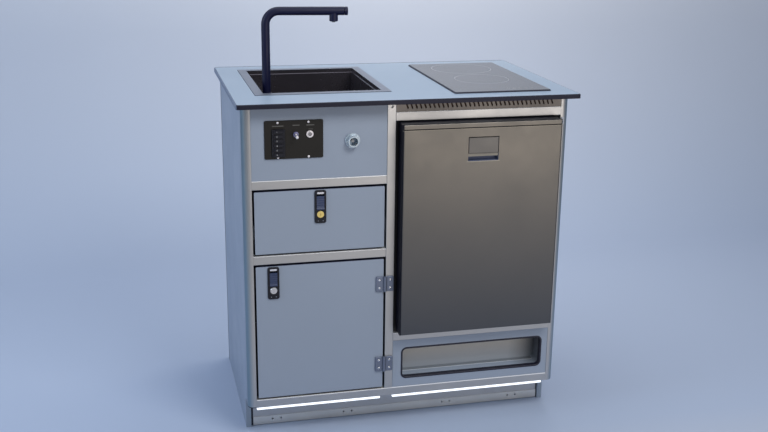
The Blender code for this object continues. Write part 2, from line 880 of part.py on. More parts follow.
def build_sink():
    bowl_width, bowl_length = bowl_size()
    rim_bottom = worktop_top + seat
    rim_top = rim_bottom + sink_sheet
    ledge_top = worktop_top - ledge_depth
    floor_top = worktop_top - sink_depth
    radius = sink_corner_radius
    deep_centre, deep_width, deep_length = main_bowl()
    rim = plate(sink_centre(), sink_width, sink_length, sink_rim_radius, "z", rim_top, rim_bottom,
                sink_sheet / 3)
    sink = add_piece("sink", rim, gunmetal, smooth=True)
    step = 2 * sink_step
    step_top = worktop_top - sink_step_depth
    narrow_width, narrow_length = bowl_width - step, bowl_length - step
    wall = 2 * sink_sheet
    lower = round_rectangle(deep_centre, deep_width + wall, deep_length + wall, radius)
    wide = round_rectangle(sink_centre(), bowl_width + wall, bowl_length + wall, radius)
    upper = round_rectangle(sink_centre(), narrow_width + wall, narrow_length + wall, radius - sink_step)
    shell = [(upper, ledge_top - sink_sheet), (upper, step_top - sink_sheet),
             (wide, step_top - sink_sheet + sink_step), (wide, rim_bottom + sink_sheet / 2)]
    weld_on(sink, stack(shell, "z"), stack([(lower, floor_top - sink_sheet), (lower, ledge_top)], "z"))
    inner_radius = radius - sink_sheet
    inner_wide = round_rectangle(sink_centre(), bowl_width, bowl_length, inner_radius)
    inner_upper = round_rectangle(sink_centre(), narrow_width, narrow_length, inner_radius - sink_step)
    inner_lower = round_rectangle(deep_centre, deep_width, deep_length, inner_radius)
    tap_x, tap_y = tap_place()
    hollow = [(inner_upper, ledge_top), (inner_upper, step_top), (inner_wide, step_top + sink_step),
              (inner_wide, rim_top + overrun)]
    cut(sink, stack(hollow, "z"),
        stack([(inner_lower, floor_top), (inner_lower, ledge_top + overrun)], "z"),
        rod("z", (*deep_centre, floor_top), waste_radius + running_clearance, -2 * sink_sheet, overrun,
            round_steps),
        rod("z", (tap_x, tap_y, ledge_top), tap_shank_radius + running_clearance, -2 * sink_sheet, overrun))


def build_waste():
    (x, y), _, _ = main_bowl()
    floor_top = worktop_top - sink_depth
    top = seat + waste_flange
    under = -sink_sheet - seat
    nut = under - waste_nut_height
    bottom = -waste_length
    points = [(waste_bore_radius, bottom), (waste_tail_radius, bottom), (waste_tail_radius, nut),
              (waste_nut_radius, nut), (waste_nut_radius, under), (waste_radius, under), (waste_radius, seat),
              (waste_flange_radius, seat), (waste_flange_radius, top), (waste_bore_radius, top)]
    bm = turned(points + points[:1], "z", (x, y, floor_top))
    add_piece("sink_waste", bm, bright_chrome, smooth=True)


def tap_place():
    x, y = sink_centre()
    bowl_width, bowl_length = bowl_size()
    return x - bowl_width / 2 + ledge_width / 2, y - bowl_length / 2 + tap_distance_from_front


def swung(bm):
    """Turns a mesh of the spout about the tap's foot, to where the spout rests."""
    x, y = tap_place()
    bmesh.ops.rotate(bm, verts=bm.verts, cent=(x, y, 0), matrix=Matrix.Rotation(tap_swing, 3, "Z"))
    return bm


def build_tap():
    x, y = tap_place()
    ledge_top = worktop_top - ledge_depth
    base_bottom = ledge_top + seat
    flange_top = base_bottom + tap_flange_height
    collar_top = base_bottom + tap_collar_height
    socket_bottom = collar_top - tap_socket_depth
    socket_radius = tap_tube_radius + running_clearance
    edge = tap_edge_radius
    base_points = [(0, base_bottom - tap_shank_length), (tap_shank_radius, base_bottom - tap_shank_length),
                   (tap_shank_radius, base_bottom), (tap_flange_radius, base_bottom),
                   (tap_flange_radius, flange_top - edge), (tap_flange_radius - edge, flange_top),
                   (tap_collar_radius, flange_top), (tap_collar_radius, collar_top - edge),
                   (tap_collar_radius - edge, collar_top), (socket_radius, collar_top),
                   (socket_radius, socket_bottom), (0, socket_bottom)]
    add_piece("tap_base", turned(base_points, "z", (x, y, 0)), matte_black, smooth=True)
    axis_z = worktop_top + tap_height - tap_tube_radius
    foot = Vector((x, y, socket_bottom + seat))
    bend_centre = (x + tap_bend_radius, axis_z - tap_bend_radius)
    bend = [Vector((a, y, b)) for a, b in arc(bend_centre, tap_bend_radius, 180, -90, 2 * corner_steps)]
    end = Vector((x + tap_reach, y, axis_z))
    tube = swung(swept_tube([foot] + bend + [end], tap_tube_radius, round_steps))
    spout = add_piece("tap_spout", tube, matte_black, pivot=(x, y, collar_top), smooth=True)
    nozzle_bottom = axis_z - tap_tube_radius - tap_nozzle_length
    tip_bottom = nozzle_bottom - tap_tip_length
    nozzle_points = [(0, tip_bottom), (tap_tip_radius, tip_bottom), (tap_tip_radius, nozzle_bottom),
                     (tap_nozzle_radius - edge, nozzle_bottom), (tap_nozzle_radius, nozzle_bottom + edge),
                     (tap_nozzle_radius, axis_z - tap_tube_radius / 2), (0, axis_z - tap_tube_radius / 2)]
    weld_on(spout, swung(turned(nozzle_points, "z", (x + tap_nozzle_reach, y, 0))),
            swung(rod("x", end, tap_spigot_radius, -overrun, tap_spigot_length)))
    knob_start = tap_groove
    knob_end = knob_start + tap_knob_length
    bore = tap_spigot_radius + running_clearance
    knob_points = [(0, tap_spigot_length + seat), (bore, tap_spigot_length + seat), (bore, knob_start),
                   (tap_tube_radius - edge, knob_start), (tap_tube_radius, knob_start + edge),
                   (tap_tube_radius, knob_end - edge), (tap_tube_radius - edge, knob_end), (0, knob_end)]
    knob_pivot = (x + tap_reach * math.cos(tap_swing), y + tap_reach * math.sin(tap_swing), axis_z)
    knob = add_piece("tap_knob", swung(turned(knob_points, "x", end)), matte_black, pivot=knob_pivot,
                     smooth=True)
    parent_to(knob, spout)


def build_hob():
    bottom = worktop_top + seat
    top = bottom + hob_glass
    glass = plate(hob_centre(), hob_width, hob_length, hob_corner_radius, "z", top, bottom, hob_edge)
    add_piece("hob_glass", glass, hob_black)
    case_top = bottom - seat
    width, length = hob_width - 2 * hob_case_border, hob_length - 2 * hob_case_border
    case = plate(hob_centre(), width, length, hob_case_radius, "z", case_top - hob_case_height, case_top,
                 hob_case_radius / 2)
    add_piece("hob_case", case, cast_zinc)


# Control panel

def build_control_plate():
    back = fascia_front - seat
    front = back - plate_thickness
    bm = plate(plate_centre(), plate_width, plate_height, plate_radius, "y", front, back, plate_thickness / 4)
    control_plate = add_piece("control_plate", bm, black_plastic)
    holes = ((toggle_left_offset, toggle_barrel_radius), (button_left_offset, button_barrel_radius))
    for offset, radius in holes:
        x, z = switch_place(offset)
        cut(control_plate, rod("y", (x, front, z), radius + running_clearance, -overrun,
                               plate_thickness + overrun, round_steps))


def switch_place(left_offset):
    z = fascia_bottom + plate_bottom_offset + switch_bottom_offset
    return bay_left + plate_left_offset + left_offset, z


def plate_front():
    return fascia_front - seat - plate_thickness


def build_fuse_block():
    x = bay_left + plate_left_offset + fuse_left_offset
    z = fascia_bottom + plate_bottom_offset + fuse_bottom_offset
    back = plate_front() - seat
    front = back - fuse_base
    base = block((x - fuse_width / 2, front, z - fuse_height / 2),
                 (x + fuse_width / 2, back, z + fuse_height / 2), fuse_edge, 1)
    fuse_block = add_piece("fuse_block", base, black_plastic)
    caps = bmesh.new()
    cap_count = 6
    for k in range(cap_count):
        cap_z = z + (k - (cap_count - 1) / 2) * fuse_cap_pitch
        low = (x - fuse_cap_width / 2, front - fuse_proud, cap_z - fuse_cap_height / 2)
        high = (x + fuse_cap_width / 2, front + fuse_base / 2, cap_z + fuse_cap_height / 2)
        merge_into(caps, block(low, high, fuse_edge, 1))
    weld_on(fuse_block, caps)


def build_toggle():
    x, z = switch_place(toggle_left_offset)
    front, back = plate_front(), fascia_front - seat
    nut_front = front - seat - toggle_nut_height
    barrel_front = nut_front - toggle_barrel_height
    body_front = back + seat
    pivot_y = barrel_front + toggle_ball_radius
    bore = toggle_barrel_radius - toggle_barrel_wall
    socket_end = pivot_y + toggle_ball_radius + running_clearance
    barrel, nut = toggle_barrel_radius, toggle_nut_radius
    points = [(0, socket_end), (bore, socket_end), (bore, barrel_front), (barrel, barrel_front),
              (barrel, nut_front), (nut, nut_front), (nut, front - seat), (barrel, front - seat),
              (barrel, body_front + overrun), (0, body_front + overrun)]
    bushing = add_piece("toggle_bushing", turned(points, "y", (x, 0, z)), bright_chrome, smooth=True)
    body_back = body_front + toggle_body_depth
    weld_on(bushing, block((x - toggle_body_width / 2, body_front, z - toggle_body_height / 2),
                           (x + toggle_body_width / 2, body_back, z + toggle_body_height / 2)))
    ball = [(toggle_ball_radius * math.sin(a), -toggle_ball_radius * math.cos(a))
            for a in (math.radians(180 - 20 * k) for k in range(8))]
    stem_start = ball[-1][1]
    stem_end = -toggle_lever_length
    tip = toggle_tip_radius
    diagonal = tip * math.sin(math.radians(45))
    stem = [(toggle_stem_radius, stem_start - toggle_stem_radius), (tip, stem_end + tip),
            (diagonal, stem_end + tip - diagonal), (0, stem_end)]
    profile_points = [(0, toggle_ball_radius)] + ball[1:] + stem
    bm = turned(profile_points, "y", (0, 0, 0), small_round_steps)
    bmesh.ops.rotate(bm, cent=(0, 0, 0), matrix=Matrix.Rotation(toggle_throw, 3, "X"), verts=bm.verts)
    bmesh.ops.translate(bm, vec=(x, pivot_y, z), verts=bm.verts)
    add_piece("toggle_lever", bm, bright_chrome, pivot=(x, pivot_y, z), smooth=True)


def build_button():
    x, z = switch_place(button_left_offset)
    front, back = plate_front(), fascia_front - seat
    bezel_front = front - seat - button_bezel_height
    edge = button_bezel_height / 3
    bore_end = bezel_front - button_cap_proud + button_cap_height + button_travel + seat
    points = [(0, bore_end), (button_bore_radius, bore_end), (button_bore_radius, bezel_front),
              (button_bezel_radius - edge, bezel_front), (button_bezel_radius, bezel_front + edge),
              (button_bezel_radius, front - seat), (button_barrel_radius, front - seat),
              (button_barrel_radius, back + button_barrel_depth), (0, back + button_barrel_depth)]
    add_piece("button_body", turned(points, "y", (x, 0, z)), bright_chrome, smooth=True)
    cap_front = bezel_front - button_cap_proud
    cap_radius = button_bore_radius - running_clearance
    cap_points = [(0, cap_front), (cap_radius - edge, cap_front + edge / 3), (cap_radius, cap_front + edge),
                  (cap_radius, cap_front + button_cap_height), (0, cap_front + button_cap_height)]
    cap = turned(cap_points, "y", (x, 0, z))
    add_piece("button_cap", cap, black_plastic, pivot=(x, cap_front, z), smooth=True)


def build_hose_outlet():
    x, z = hose_centre()
    back = fascia_front - seat
    flange = back - hose_flange_height
    hexagon = flange - hose_hex_height
    nose = hexagon - hose_nose_height
    edge = hose_flange_height / 4
    bore_end = nose + hose_bore_depth
    shank_end = back + hose_shank_length
    barb_end = shank_end + hose_barb_length
    points = [(0, bore_end), (hose_bore_radius, bore_end), (hose_bore_radius, nose),
              (hose_nose_radius - edge, nose), (hose_nose_radius, nose + edge),
              (hose_nose_radius, flange - edge), (hose_flange_radius - edge, flange),
              (hose_flange_radius, flange + edge), (hose_flange_radius, back), (hose_shank_radius, back),
              (hose_shank_radius, shank_end), (hose_barb_radius, shank_end), (hose_barb_radius, barb_end),
              (0, barb_end)]
    outlet = add_piece("hose_outlet", turned(points, "y", (x, 0, z)), nickel, smooth=True)
    inner = circle((x, z), (hose_bore_radius + hose_nose_radius) / 2, 6 * corner_steps)
    outer = circle((x, z), hose_hex_radius, 6)
    collar = prism([outer, inner], "y", hexagon, flange + edge / 2)
    poppet_front = bore_end - hose_poppet_height
    weld_on(outlet, collar, rod("y", (x, 0, z), hose_poppet_radius, poppet_front, bore_end + overrun))


# Latches

def latch_cutout(x, top):
    """The hole that a latch housing passes through, in the panel's plane."""
    height = latch_height - 2 * latch_housing_margin
    middle = top - latch_height / 2
    spread = 2 * latch_cutout_clearance
    return rectangle((x - (latch_housing_width + spread) / 2, middle - (height + spread) / 2),
                     (x + (latch_housing_width + spread) / 2, middle + (height + spread) / 2))


def build_latch(prefix, x, top, carrier, opening_top, lock_finish):
    """A paddle latch: the plate and housing, the sprung paddle with its claw, and the key barrel."""
    back = front_y - seat
    front = back - latch_proud
    middle = top - latch_height / 2
    axis_y, axis_z = front + latch_axis_depth, top - latch_axis_drop
    housing_back = front_y + latch_housing_depth
    bm = plate((x, middle), latch_width, latch_height, latch_plate_radius, "y", front, back, latch_edge)
    body = add_piece(prefix + "_latch_body", bm, black_plastic)
    half = latch_height / 2 - latch_housing_margin
    weld_on(body, block((x - latch_housing_width / 2, back - latch_proud / 2, middle - half),
                        (x + latch_housing_width / 2, housing_back, middle + half)))
    cut(body, block((x - latch_pocket_width / 2, front - overrun, axis_z - latch_pocket_below),
                    (x + latch_pocket_width / 2, housing_back + overrun, axis_z + latch_pocket_above)))
    lock_z = top - lock_drop
    lock_end = front + lock_length
    cut(body, rod("y", (x, front, lock_z), lock_radius + lock_clearance, -overrun, lock_length + seat,
                  round_steps))
    paddle = build_paddle(prefix, x, axis_y, axis_z, front, opening_top)
    lock_front = front - lock_proud
    edge = lock_proud / 2
    lock_points = [(0, lock_front), (lock_radius - edge, lock_front), (lock_radius, lock_front + edge),
                   (lock_radius, lock_end), (0, lock_end)]
    lock = add_piece(prefix + "_latch_lock", turned(lock_points, "y", (x, 0, lock_z)), lock_finish,
                     pivot=(x, lock_front, lock_z), smooth=True)
    cut(lock, block((x - keyway_width / 2, lock_front - overrun, lock_z - keyway_length / 2),
                    (x + keyway_width / 2, lock_front + keyway_depth, lock_z + keyway_length / 2)))
    for piece in (body, paddle, lock):
        parent_to(piece, carrier)


def build_paddle(prefix, x, axis_y, axis_z, front, opening_top):
    """The finger paddle turns about its top. Its claw hooks up behind the rail above the panel."""
    face = front - paddle_proud
    rear = face + paddle_thickness
    bottom = axis_z - paddle_length
    outline = [(rear, axis_z + paddle_top), (face, axis_z + paddle_top)]
    rib_span = paddle_length - paddle_lip_height
    for k in range(paddle_rib_count):
        rib_top = axis_z - rib_span * (k + 0.5) / (paddle_rib_count + 0.5)
        rib_bottom = rib_top - rib_span / (2 * paddle_rib_count + 1)
        groove = (face + paddle_rib_depth, (rib_top + rib_bottom) / 2)
        outline += [(face, rib_top), groove, (face, rib_bottom)]
    outline += [(face, bottom + paddle_lip_height), (face - paddle_lip_proud, bottom + paddle_lip_height / 2),
                (face - paddle_lip_proud, bottom), (rear, bottom)]
    half = latch_pocket_width / 2 - latch_side_gap
    paddle = add_piece(prefix + "_latch_paddle", prism([outline], "x", x - half, x + half), black_plastic,
                       pivot=(x, axis_y, axis_z))
    claw_front = front_y + profile + claw_clearance
    claw_back = claw_front + claw_thickness
    arm_low, arm_high = axis_z - claw_arm_height / 2, axis_z + claw_arm_height / 2
    claw = [(rear - paddle_thickness / 2, arm_low), (claw_back, arm_low),
            (claw_back, opening_top - claw_clearance),
            (claw_front, opening_top - 2 * claw_clearance), (claw_front, arm_high),
            (rear - paddle_thickness / 2, arm_high)]
    weld_on(paddle, prism([claw], "x", x - claw_width / 2, x + claw_width / 2))
    return paddle


# Drawer

def panel_mesh(x0, x1, z0, z1, holes):
    """A front panel in the plane of the frame, with its corners eased."""
    centre = ((x0 + x1) / 2, (z0 + z1) / 2)
    outline = round_rectangle(centre, x1 - x0, z1 - z0, door_corner_radius, 2)
    return prism([outline] + holes, "y", front_y, front_y + door_thickness)


def build_drawer():
    x0, x1 = bay_left + reveal, bay_right - reveal
    z0, z1 = drawer_bottom + reveal, drawer_top - reveal
    latch_x, latch_top = (x0 + x1) / 2, z1 - latch_drop
    front = panel_mesh(x0, x1, z0, z1, [latch_cutout(latch_x, latch_top)])
    drawer = add_piece("drawer_front", front, panel_grey, pivot=((x0 + x1) / 2, front_y, (z0 + z1) / 2))
    box = build_drawer_box(latch_x, latch_top)
    parent_to(box, drawer)
    build_latch("drawer", latch_x, latch_top, drawer, drawer_top, brass)
    build_runners()


def drawer_box_place():
    """The corners of the drawer box."""
    low = (bay_left + runner_space, front_y + door_thickness + seat, drawer_bottom + drawer_lift)
    high = (bay_right - runner_space, low[1] + drawer_depth, low[2] + drawer_box_height)
    return low, high


def build_drawer_box(latch_x, latch_top):
    low, high = drawer_box_place()
    box = add_piece("drawer_box", block(low, high), carcass_grey)
    cut(box, block((low[0] + drawer_wall, low[1] + drawer_wall, low[2] + drawer_base),
                   (high[0] - drawer_wall, high[1] - drawer_wall, high[2] + overrun)))
    notch_half = latch_housing_width / 2 + drawer_notch_margin
    notch_bottom = latch_top - latch_height
    cut(box, block((latch_x - notch_half, low[1] - overrun, notch_bottom),
                   (latch_x + notch_half, low[1] + drawer_wall + overrun, high[2] + overrun)))
    slide_low = low[2] + runner_slide_lift - runner_slide_height / 2
    slide_high = slide_low + runner_slide_height
    start = low[1] + runner_start
    for side, x in ((-1, low[0]), (1, high[0])):
        near, far = x - side * drawer_wall / 2, x + side * runner_slide_thickness
        weld_on(box, block((min(near, far), start, slide_low), (max(near, far), high[1], slide_high)))
    return box


def build_runners():
    """Fixed channels that the strips along the drawer box slide in."""
    low, _ = drawer_box_place()
    middle = low[2] + runner_slide_lift
    inner = runner_slide_height / 2 + running_clearance
    outer = inner + runner_sheet
    start = low[1] + runner_start
    end = start + runner_length
    runners = (("drawer_runner_left", bay_left, 1), ("drawer_runner_right", bay_right - seat, -1))
    for name, wall, side in runners:
        mouth = wall + side * (runner_space - 2 * running_clearance)
        web = wall + side * runner_sheet
        outline = [(wall, middle - outer), (mouth, middle - outer), (mouth, middle - inner),
                   (web, middle - inner), (web, middle + inner), (mouth, middle + inner),
                   (mouth, middle + outer), (wall, middle + outer)]
        channel = prism([outline], "y", start, end)
        runner = add_piece(name, channel, cast_zinc)
        if side > 0:
            brackets = bmesh.new()
            bracket_low, bracket_high = inside_left + seat, web - runner_sheet / 2
            rear_bracket = end - runner_bracket_inset - runner_bracket_length
            for y in (inside_front + runner_bracket_inset, rear_bracket):
                merge_into(brackets, block((bracket_low, y, middle - inner / 2),
                                           (bracket_high, y + runner_bracket_length, middle + inner / 2)))
            weld_on(runner, brackets)


# Cupboard

def build_cupboard():
    x0, x1 = bay_left + reveal, bay_right - reveal
    z0, z1 = cupboard_bottom + reveal, cupboard_top - reveal
    latch_x, latch_top = x0 + cupboard_latch_offset, z1 - latch_drop
    axis_x = bay_right - reveal / 2
    axis_y = front_y - seat - hinge_knuckle_radius
    front = panel_mesh(x0, x1, z0, z1, [latch_cutout(latch_x, latch_top)])
    door = add_piece("cupboard_door", front, panel_grey, pivot=(axis_x, axis_y, (z0 + z1) / 2))
    build_latch("cupboard", latch_x, latch_top, door, cupboard_top, bright_chrome)
    for name, z in (("upper_hinge", z1 - hinge_inset), ("lower_hinge", z0 + hinge_inset)):
        build_hinge(name, axis_x, axis_y, z, door)


def build_hinge(name, axis_x, axis_y, z, door):
    """A surface hinge. The post leaf carries the pin and the outer knuckles, the door leaf the middle one."""
    back = front_y - seat
    front = back - hinge_leaf_thickness
    half = hinge_height / 2
    quarter = hinge_height / 4
    root = hinge_knuckle_radius + running_clearance
    outer_spans = ((z - half, z - quarter), (z + quarter, z + half))
    inner_span = (z - quarter + hinge_knuckle_gap, z + quarter - hinge_knuckle_gap)
    for leaf, side, spans in (("post_leaf", 1, outer_spans), ("door_leaf", -1, (inner_span,))):
        plate_width_now = hinge_leaf_width - root
        centre = (axis_x + side * (root + plate_width_now / 2), z)
        bm = plate(centre, plate_width_now, hinge_height, hinge_corner_radius, "y", front, back,
                   hinge_leaf_thickness / 5)
        pivot = (axis_x, axis_y, z) if side < 0 else None
        piece = add_piece(f"{name}_{leaf}", bm, cast_zinc, pivot=pivot, smooth=True)
        reach = axis_x + side * (root + hinge_corner_radius)
        for low, high in spans:
            weld_on(piece, block((min(axis_x, reach), front + hinge_leaf_thickness / 5, low + seat),
                                 (max(axis_x, reach), back, high - seat)),
                    rod("z", (axis_x, axis_y, 0), hinge_knuckle_radius, low, high))
        if side > 0:
            weld_on(piece, rod("z", (axis_x, axis_y, 0), hinge_pin_radius, z - half + running_clearance,
                               z + half - running_clearance))
        else:
            cut(piece, rod("z", (axis_x, axis_y, 0), hinge_pin_radius + hinge_pin_clearance,
                           z - half, z + half))
            parent_to(piece, door)


# Fridge

def fridge_door_place():
    """The corners of the fridge door's outer shell."""
    front = front_y - fridge_door_proud
    low = (fridge_bay_left + fridge_door_side_gap, front, fridge_bottom + fridge_door_bottom_gap)
    high = (fridge_bay_right - fridge_door_side_gap, front + fridge_door_thickness,
            fridge_top - fridge_door_top_gap)
    return low, high


def fridge_axis():
    low, high = fridge_door_place()
    return high[0] - hinge_axis_inset, low[1] + hinge_axis_depth


def flange_front():
    _, high = fridge_door_place()
    return high[1] + gasket_thickness + 2 * seat


def build_fridge_cabinet():
    front = flange_front()
    flange_back = front + fridge_flange
    centre_x = (fridge_bay_left + fridge_bay_right) / 2
    bottom = fridge_bottom + seat
    flange_top = fridge_top - fridge_clearance
    flange = block((fridge_bay_left + fridge_clearance, front, bottom),
                   (fridge_bay_right - fridge_clearance, flange_back, flange_top))
    cabinet = add_piece("fridge_cabinet", flange, black_plastic)
    body_low = (centre_x - fridge_width / 2, front + fridge_flange / 2, bottom)
    body_high = (centre_x + fridge_width / 2, front + fridge_depth, bottom + fridge_height)
    weld_on(cabinet, block(body_low, body_high))
    cavity_low, cavity_high = bottom + fridge_wall, bottom + fridge_height - fridge_wall
    cavity_back = front + fridge_cavity_depth
    step_front, step_top = cavity_back - compressor_depth, cavity_low + compressor_height
    outline = [(front - overrun, cavity_low), (step_front, cavity_low), (step_front, step_top),
               (cavity_back, step_top), (cavity_back, cavity_high), (front - overrun, cavity_high)]
    half = fridge_width / 2 - fridge_wall
    cavity = prism([outline], "x", centre_x - half, centre_x + half)
    cut(cabinet, cavity)
    add_hinge_arms(cabinet, front)


def add_hinge_arms(cabinet, front):
    """Arms that reach forward into the ends of the door, each with its pin."""
    low, high = fridge_door_place()
    axis_x, axis_y = fridge_axis()
    radius = hinge_arm_radius
    outline = [(axis_x + radius, front + fridge_flange / 2), (axis_x - radius, front + fridge_flange / 2)]
    outline += arc((axis_x, axis_y), radius, 180, 180, 2 * corner_steps)
    for end, inward in ((high[2], -1), (low[2], 1)):
        outer = end + inward * hinge_arm_sink
        inner = outer + inward * hinge_arm_thickness
        pin_end = inner + inward * fridge_pin_length
        pin = rod("z", (axis_x, axis_y, 0), fridge_pin_radius, min(outer, pin_end) + seat,
                  max(outer, pin_end) - seat)
        weld_on(cabinet, prism([outline], "z", min(outer, inner), max(outer, inner)), pin)


def build_fridge_door():
    low, high = fridge_door_place()
    axis_x, axis_y = fridge_axis()
    shell = rounded_front(low, high, fridge_door_edge_radius, fridge_door_rim_radius)
    door = add_piece("fridge_door", shell, fridge_steel, pivot=(axis_x, axis_y, (low[2] + high[2]) / 2))
    groove_top = high[2] - fridge_groove_drop
    cut(door, block((low[0] - overrun, low[1] - overrun, groove_top - fridge_groove_width),
                    (high[0] + overrun, low[1] + fridge_groove_depth, groove_top)))
    pocket_low, pocket_high = handle_pocket()
    cut(door, block((pocket_low[0], low[1] - overrun, pocket_low[1]),
                    (pocket_high[0], low[1] + handle_pocket_depth, pocket_high[1])))
    recess_left = axis_x - hinge_arm_radius - 4 * hinge_arm_clearance
    recess_front = axis_y - hinge_arm_radius - hinge_arm_thickness - 2 * hinge_arm_clearance
    depth = hinge_arm_sink + hinge_arm_thickness + hinge_arm_clearance
    for end, inward in ((high[2], -1), (low[2], 1)):
        inner = end + inward * depth
        outer = end - inward * overrun
        cut(door, block((recess_left, recess_front, min(inner, outer)),
                        (high[0] + overrun, high[1] + overrun, max(inner, outer))))
        hole_end = inner + inward * fridge_pin_length
        cut(door, rod("z", (axis_x, axis_y, 0), fridge_pin_radius + hinge_pin_clearance,
                      min(outer, hole_end), max(outer, hole_end)))
    parent_to(build_gasket(high), door)
    parent_to(build_liner(high), door)
    parent_to(build_handle(door, low[1]), door)


def build_gasket(high):
    """The rubber seal between the door and the cabinet's rim."""
    back = high[1] + seat
    centre = ((fridge_bay_left + fridge_bay_right) / 2, fridge_bottom + seat + fridge_height / 2)
    width = fridge_width - 2 * gasket_inset
    height = fridge_height - 2 * gasket_inset
    outer = round_rectangle(centre, width, height, gasket_width)
    inner = round_rectangle(centre, width - 2 * gasket_width, height - 2 * gasket_width, gasket_width / 2)
    return add_piece("fridge_gasket", prism([outer, inner], "y", back, back + gasket_thickness), rubber_black)


def build_liner(high):
    """The moulded inner face of the fridge door, with two door bins."""
    centre_x = (fridge_bay_left + fridge_bay_right) / 2
    half = fridge_width / 2 - liner_margin
    bottom = fridge_bottom + seat + liner_margin
    top = fridge_bottom + seat + fridge_height - liner_margin
    face = high[1] + seat
    back = face + liner_thickness
    centre = (centre_x, (bottom + top) / 2)
    slim = round_rectangle(centre, 2 * half - liner_thickness, top - bottom - liner_thickness,
                           liner_corner_radius)
    full = round_rectangle(centre, 2 * half, top - bottom, liner_corner_radius)
    liner = add_piece("fridge_door_liner", stack([(full, face), (slim, back)], "y"), white_plastic)
    for lift in (bin_lift, upper_bin_lift):
        z = bottom + lift
        inset = liner_thickness
        outer = block((centre_x - half + inset, back - liner_thickness / 2, z),
                      (centre_x + half - inset, back + bin_depth, z + bin_height))
        reach = half - inset - bin_wall
        inner = block((centre_x - reach, back, z + bin_wall),
                      (centre_x + reach, back + bin_depth - bin_wall, z + bin_height + overrun))
        weld_on(liner, outer)
        cut(liner, inner)
    return liner


def handle_pocket():
    """The corners of the handle pocket in the door's face."""
    low, high = fridge_door_place()
    centre = (low[0] + high[0]) / 2
    top = high[2] - handle_drop
    return (centre - handle_width / 2, top - handle_height), (centre + handle_width / 2, top)


def build_handle(door, face):
    """The finger flap. It turns on pins along its top edge, and its lip folds back into the pocket."""
    (x0, _), (x1, top) = handle_pocket()
    axis_y = face + handle_axis_depth
    axis_z = top - handle_gap - handle_barrel_radius
    edge = top - handle_flap_height
    bottom = edge - handle_lip_height
    back = face + handle_lip_setback + handle_sheet
    outline = [(face, axis_z + handle_barrel_radius / 2)]
    outline += arc((axis_y, axis_z), handle_barrel_radius, 120, -165, 2 * corner_steps)
    outline += [(back, axis_z - handle_barrel_radius), (back, bottom + handle_sheet),
                (face + handle_lip_depth, bottom + handle_sheet), (face + handle_lip_depth, bottom),
                (face + handle_lip_setback, bottom), (face + handle_lip_setback, edge), (face, edge)]
    centre = ((x0 + x1) / 2, axis_y, axis_z)
    flap = add_piece("fridge_handle", prism([outline], "x", x0 + handle_gap, x1 - handle_gap), fridge_steel,
                     pivot=centre)
    reach = (x1 - x0) / 2 + handle_pin_length
    weld_on(flap, rod("x", centre, handle_pin_radius, seat - reach, reach - seat))
    cut(door, rod("x", centre, handle_pin_radius + hinge_pin_clearance, -reach, reach))
    return flap


def build_pod():
    clear_scene()
    build_posts()
    build_rails()
    build_side_panels()
    build_floor_panel()
    build_divider()
    build_rear_panel()
    build_fascia()
    build_niche()
    build_vent_strip()
    build_fridge_deck()
    build_plinth()
    build_light_strips()
    build_worktop()
    build_sink()
    build_waste()
    build_tap()
    build_hob()
    build_control_plate()
    build_fuse_block()
    build_toggle()
    build_button()
    build_hose_outlet()
    build_drawer()
    build_cupboard()
    build_fridge_cabinet()
    build_fridge_door()


build_pod()
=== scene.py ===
# %% [markdown]
# # A campervan kitchen pod
# The pod is a frame of aluminium profile that carries a worktop with a sink, a tap and a hob. Below it are a
# control panel, a drawer, a cupboard, a fridge and an open niche. Its solids come ready made, each on the body
# that it moves with. This lesson gives every solid a finish and adds the small pieces that the solids leave out.

# %% Load the solids
import json
import math

import bmesh
import bpy
from mathutils import Matrix, Vector


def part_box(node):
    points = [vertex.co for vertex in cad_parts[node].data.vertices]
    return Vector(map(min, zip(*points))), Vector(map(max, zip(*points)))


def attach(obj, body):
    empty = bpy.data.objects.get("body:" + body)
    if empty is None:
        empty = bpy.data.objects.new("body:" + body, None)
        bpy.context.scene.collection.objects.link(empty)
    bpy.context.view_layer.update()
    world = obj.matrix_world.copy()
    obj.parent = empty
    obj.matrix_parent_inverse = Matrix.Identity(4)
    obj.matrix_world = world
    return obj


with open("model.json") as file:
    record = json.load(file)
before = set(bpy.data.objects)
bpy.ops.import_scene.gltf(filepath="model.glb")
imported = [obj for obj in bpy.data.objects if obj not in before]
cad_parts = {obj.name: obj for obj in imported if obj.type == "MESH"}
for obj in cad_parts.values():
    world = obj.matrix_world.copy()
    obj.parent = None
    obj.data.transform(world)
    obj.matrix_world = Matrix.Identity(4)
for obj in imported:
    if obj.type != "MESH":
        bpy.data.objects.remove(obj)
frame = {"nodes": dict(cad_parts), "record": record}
solids = frame["nodes"]
openings = {entry["name"]: entry["box_m"] for entry in frame["record"]["physics"]["openings"]}
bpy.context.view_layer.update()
mm = 0.001

# %% [markdown]
# ## The view
# A camera can be placed by eye, but the real one can be worked out: the edges of the frame are straight and
# square, so their directions in the picture give the lens and the place. The camera stands a little to the left
# and above the worktop, and leans by less than one degree. Setting the matrix directly keeps that lean.

# %% Camera
eye = Vector((-0.7743, -3.139, 1.551))
yaw, pitch, roll = math.radians(13.8), math.radians(-16.76), math.radians(0.7)
lens_mm, sensor_mm = 50.3, 36.0


def camera_axes():
    """The camera's right, up and back directions."""
    forward = Vector((math.sin(yaw) * math.cos(pitch), math.cos(yaw) * math.cos(pitch), math.sin(pitch)))
    level_right = forward.cross(Vector((0, 0, 1))).normalized()
    level_up = level_right.cross(forward)
    right = math.cos(roll) * level_right + math.sin(roll) * level_up
    up = math.cos(roll) * level_up - math.sin(roll) * level_right
    return right, up, -forward


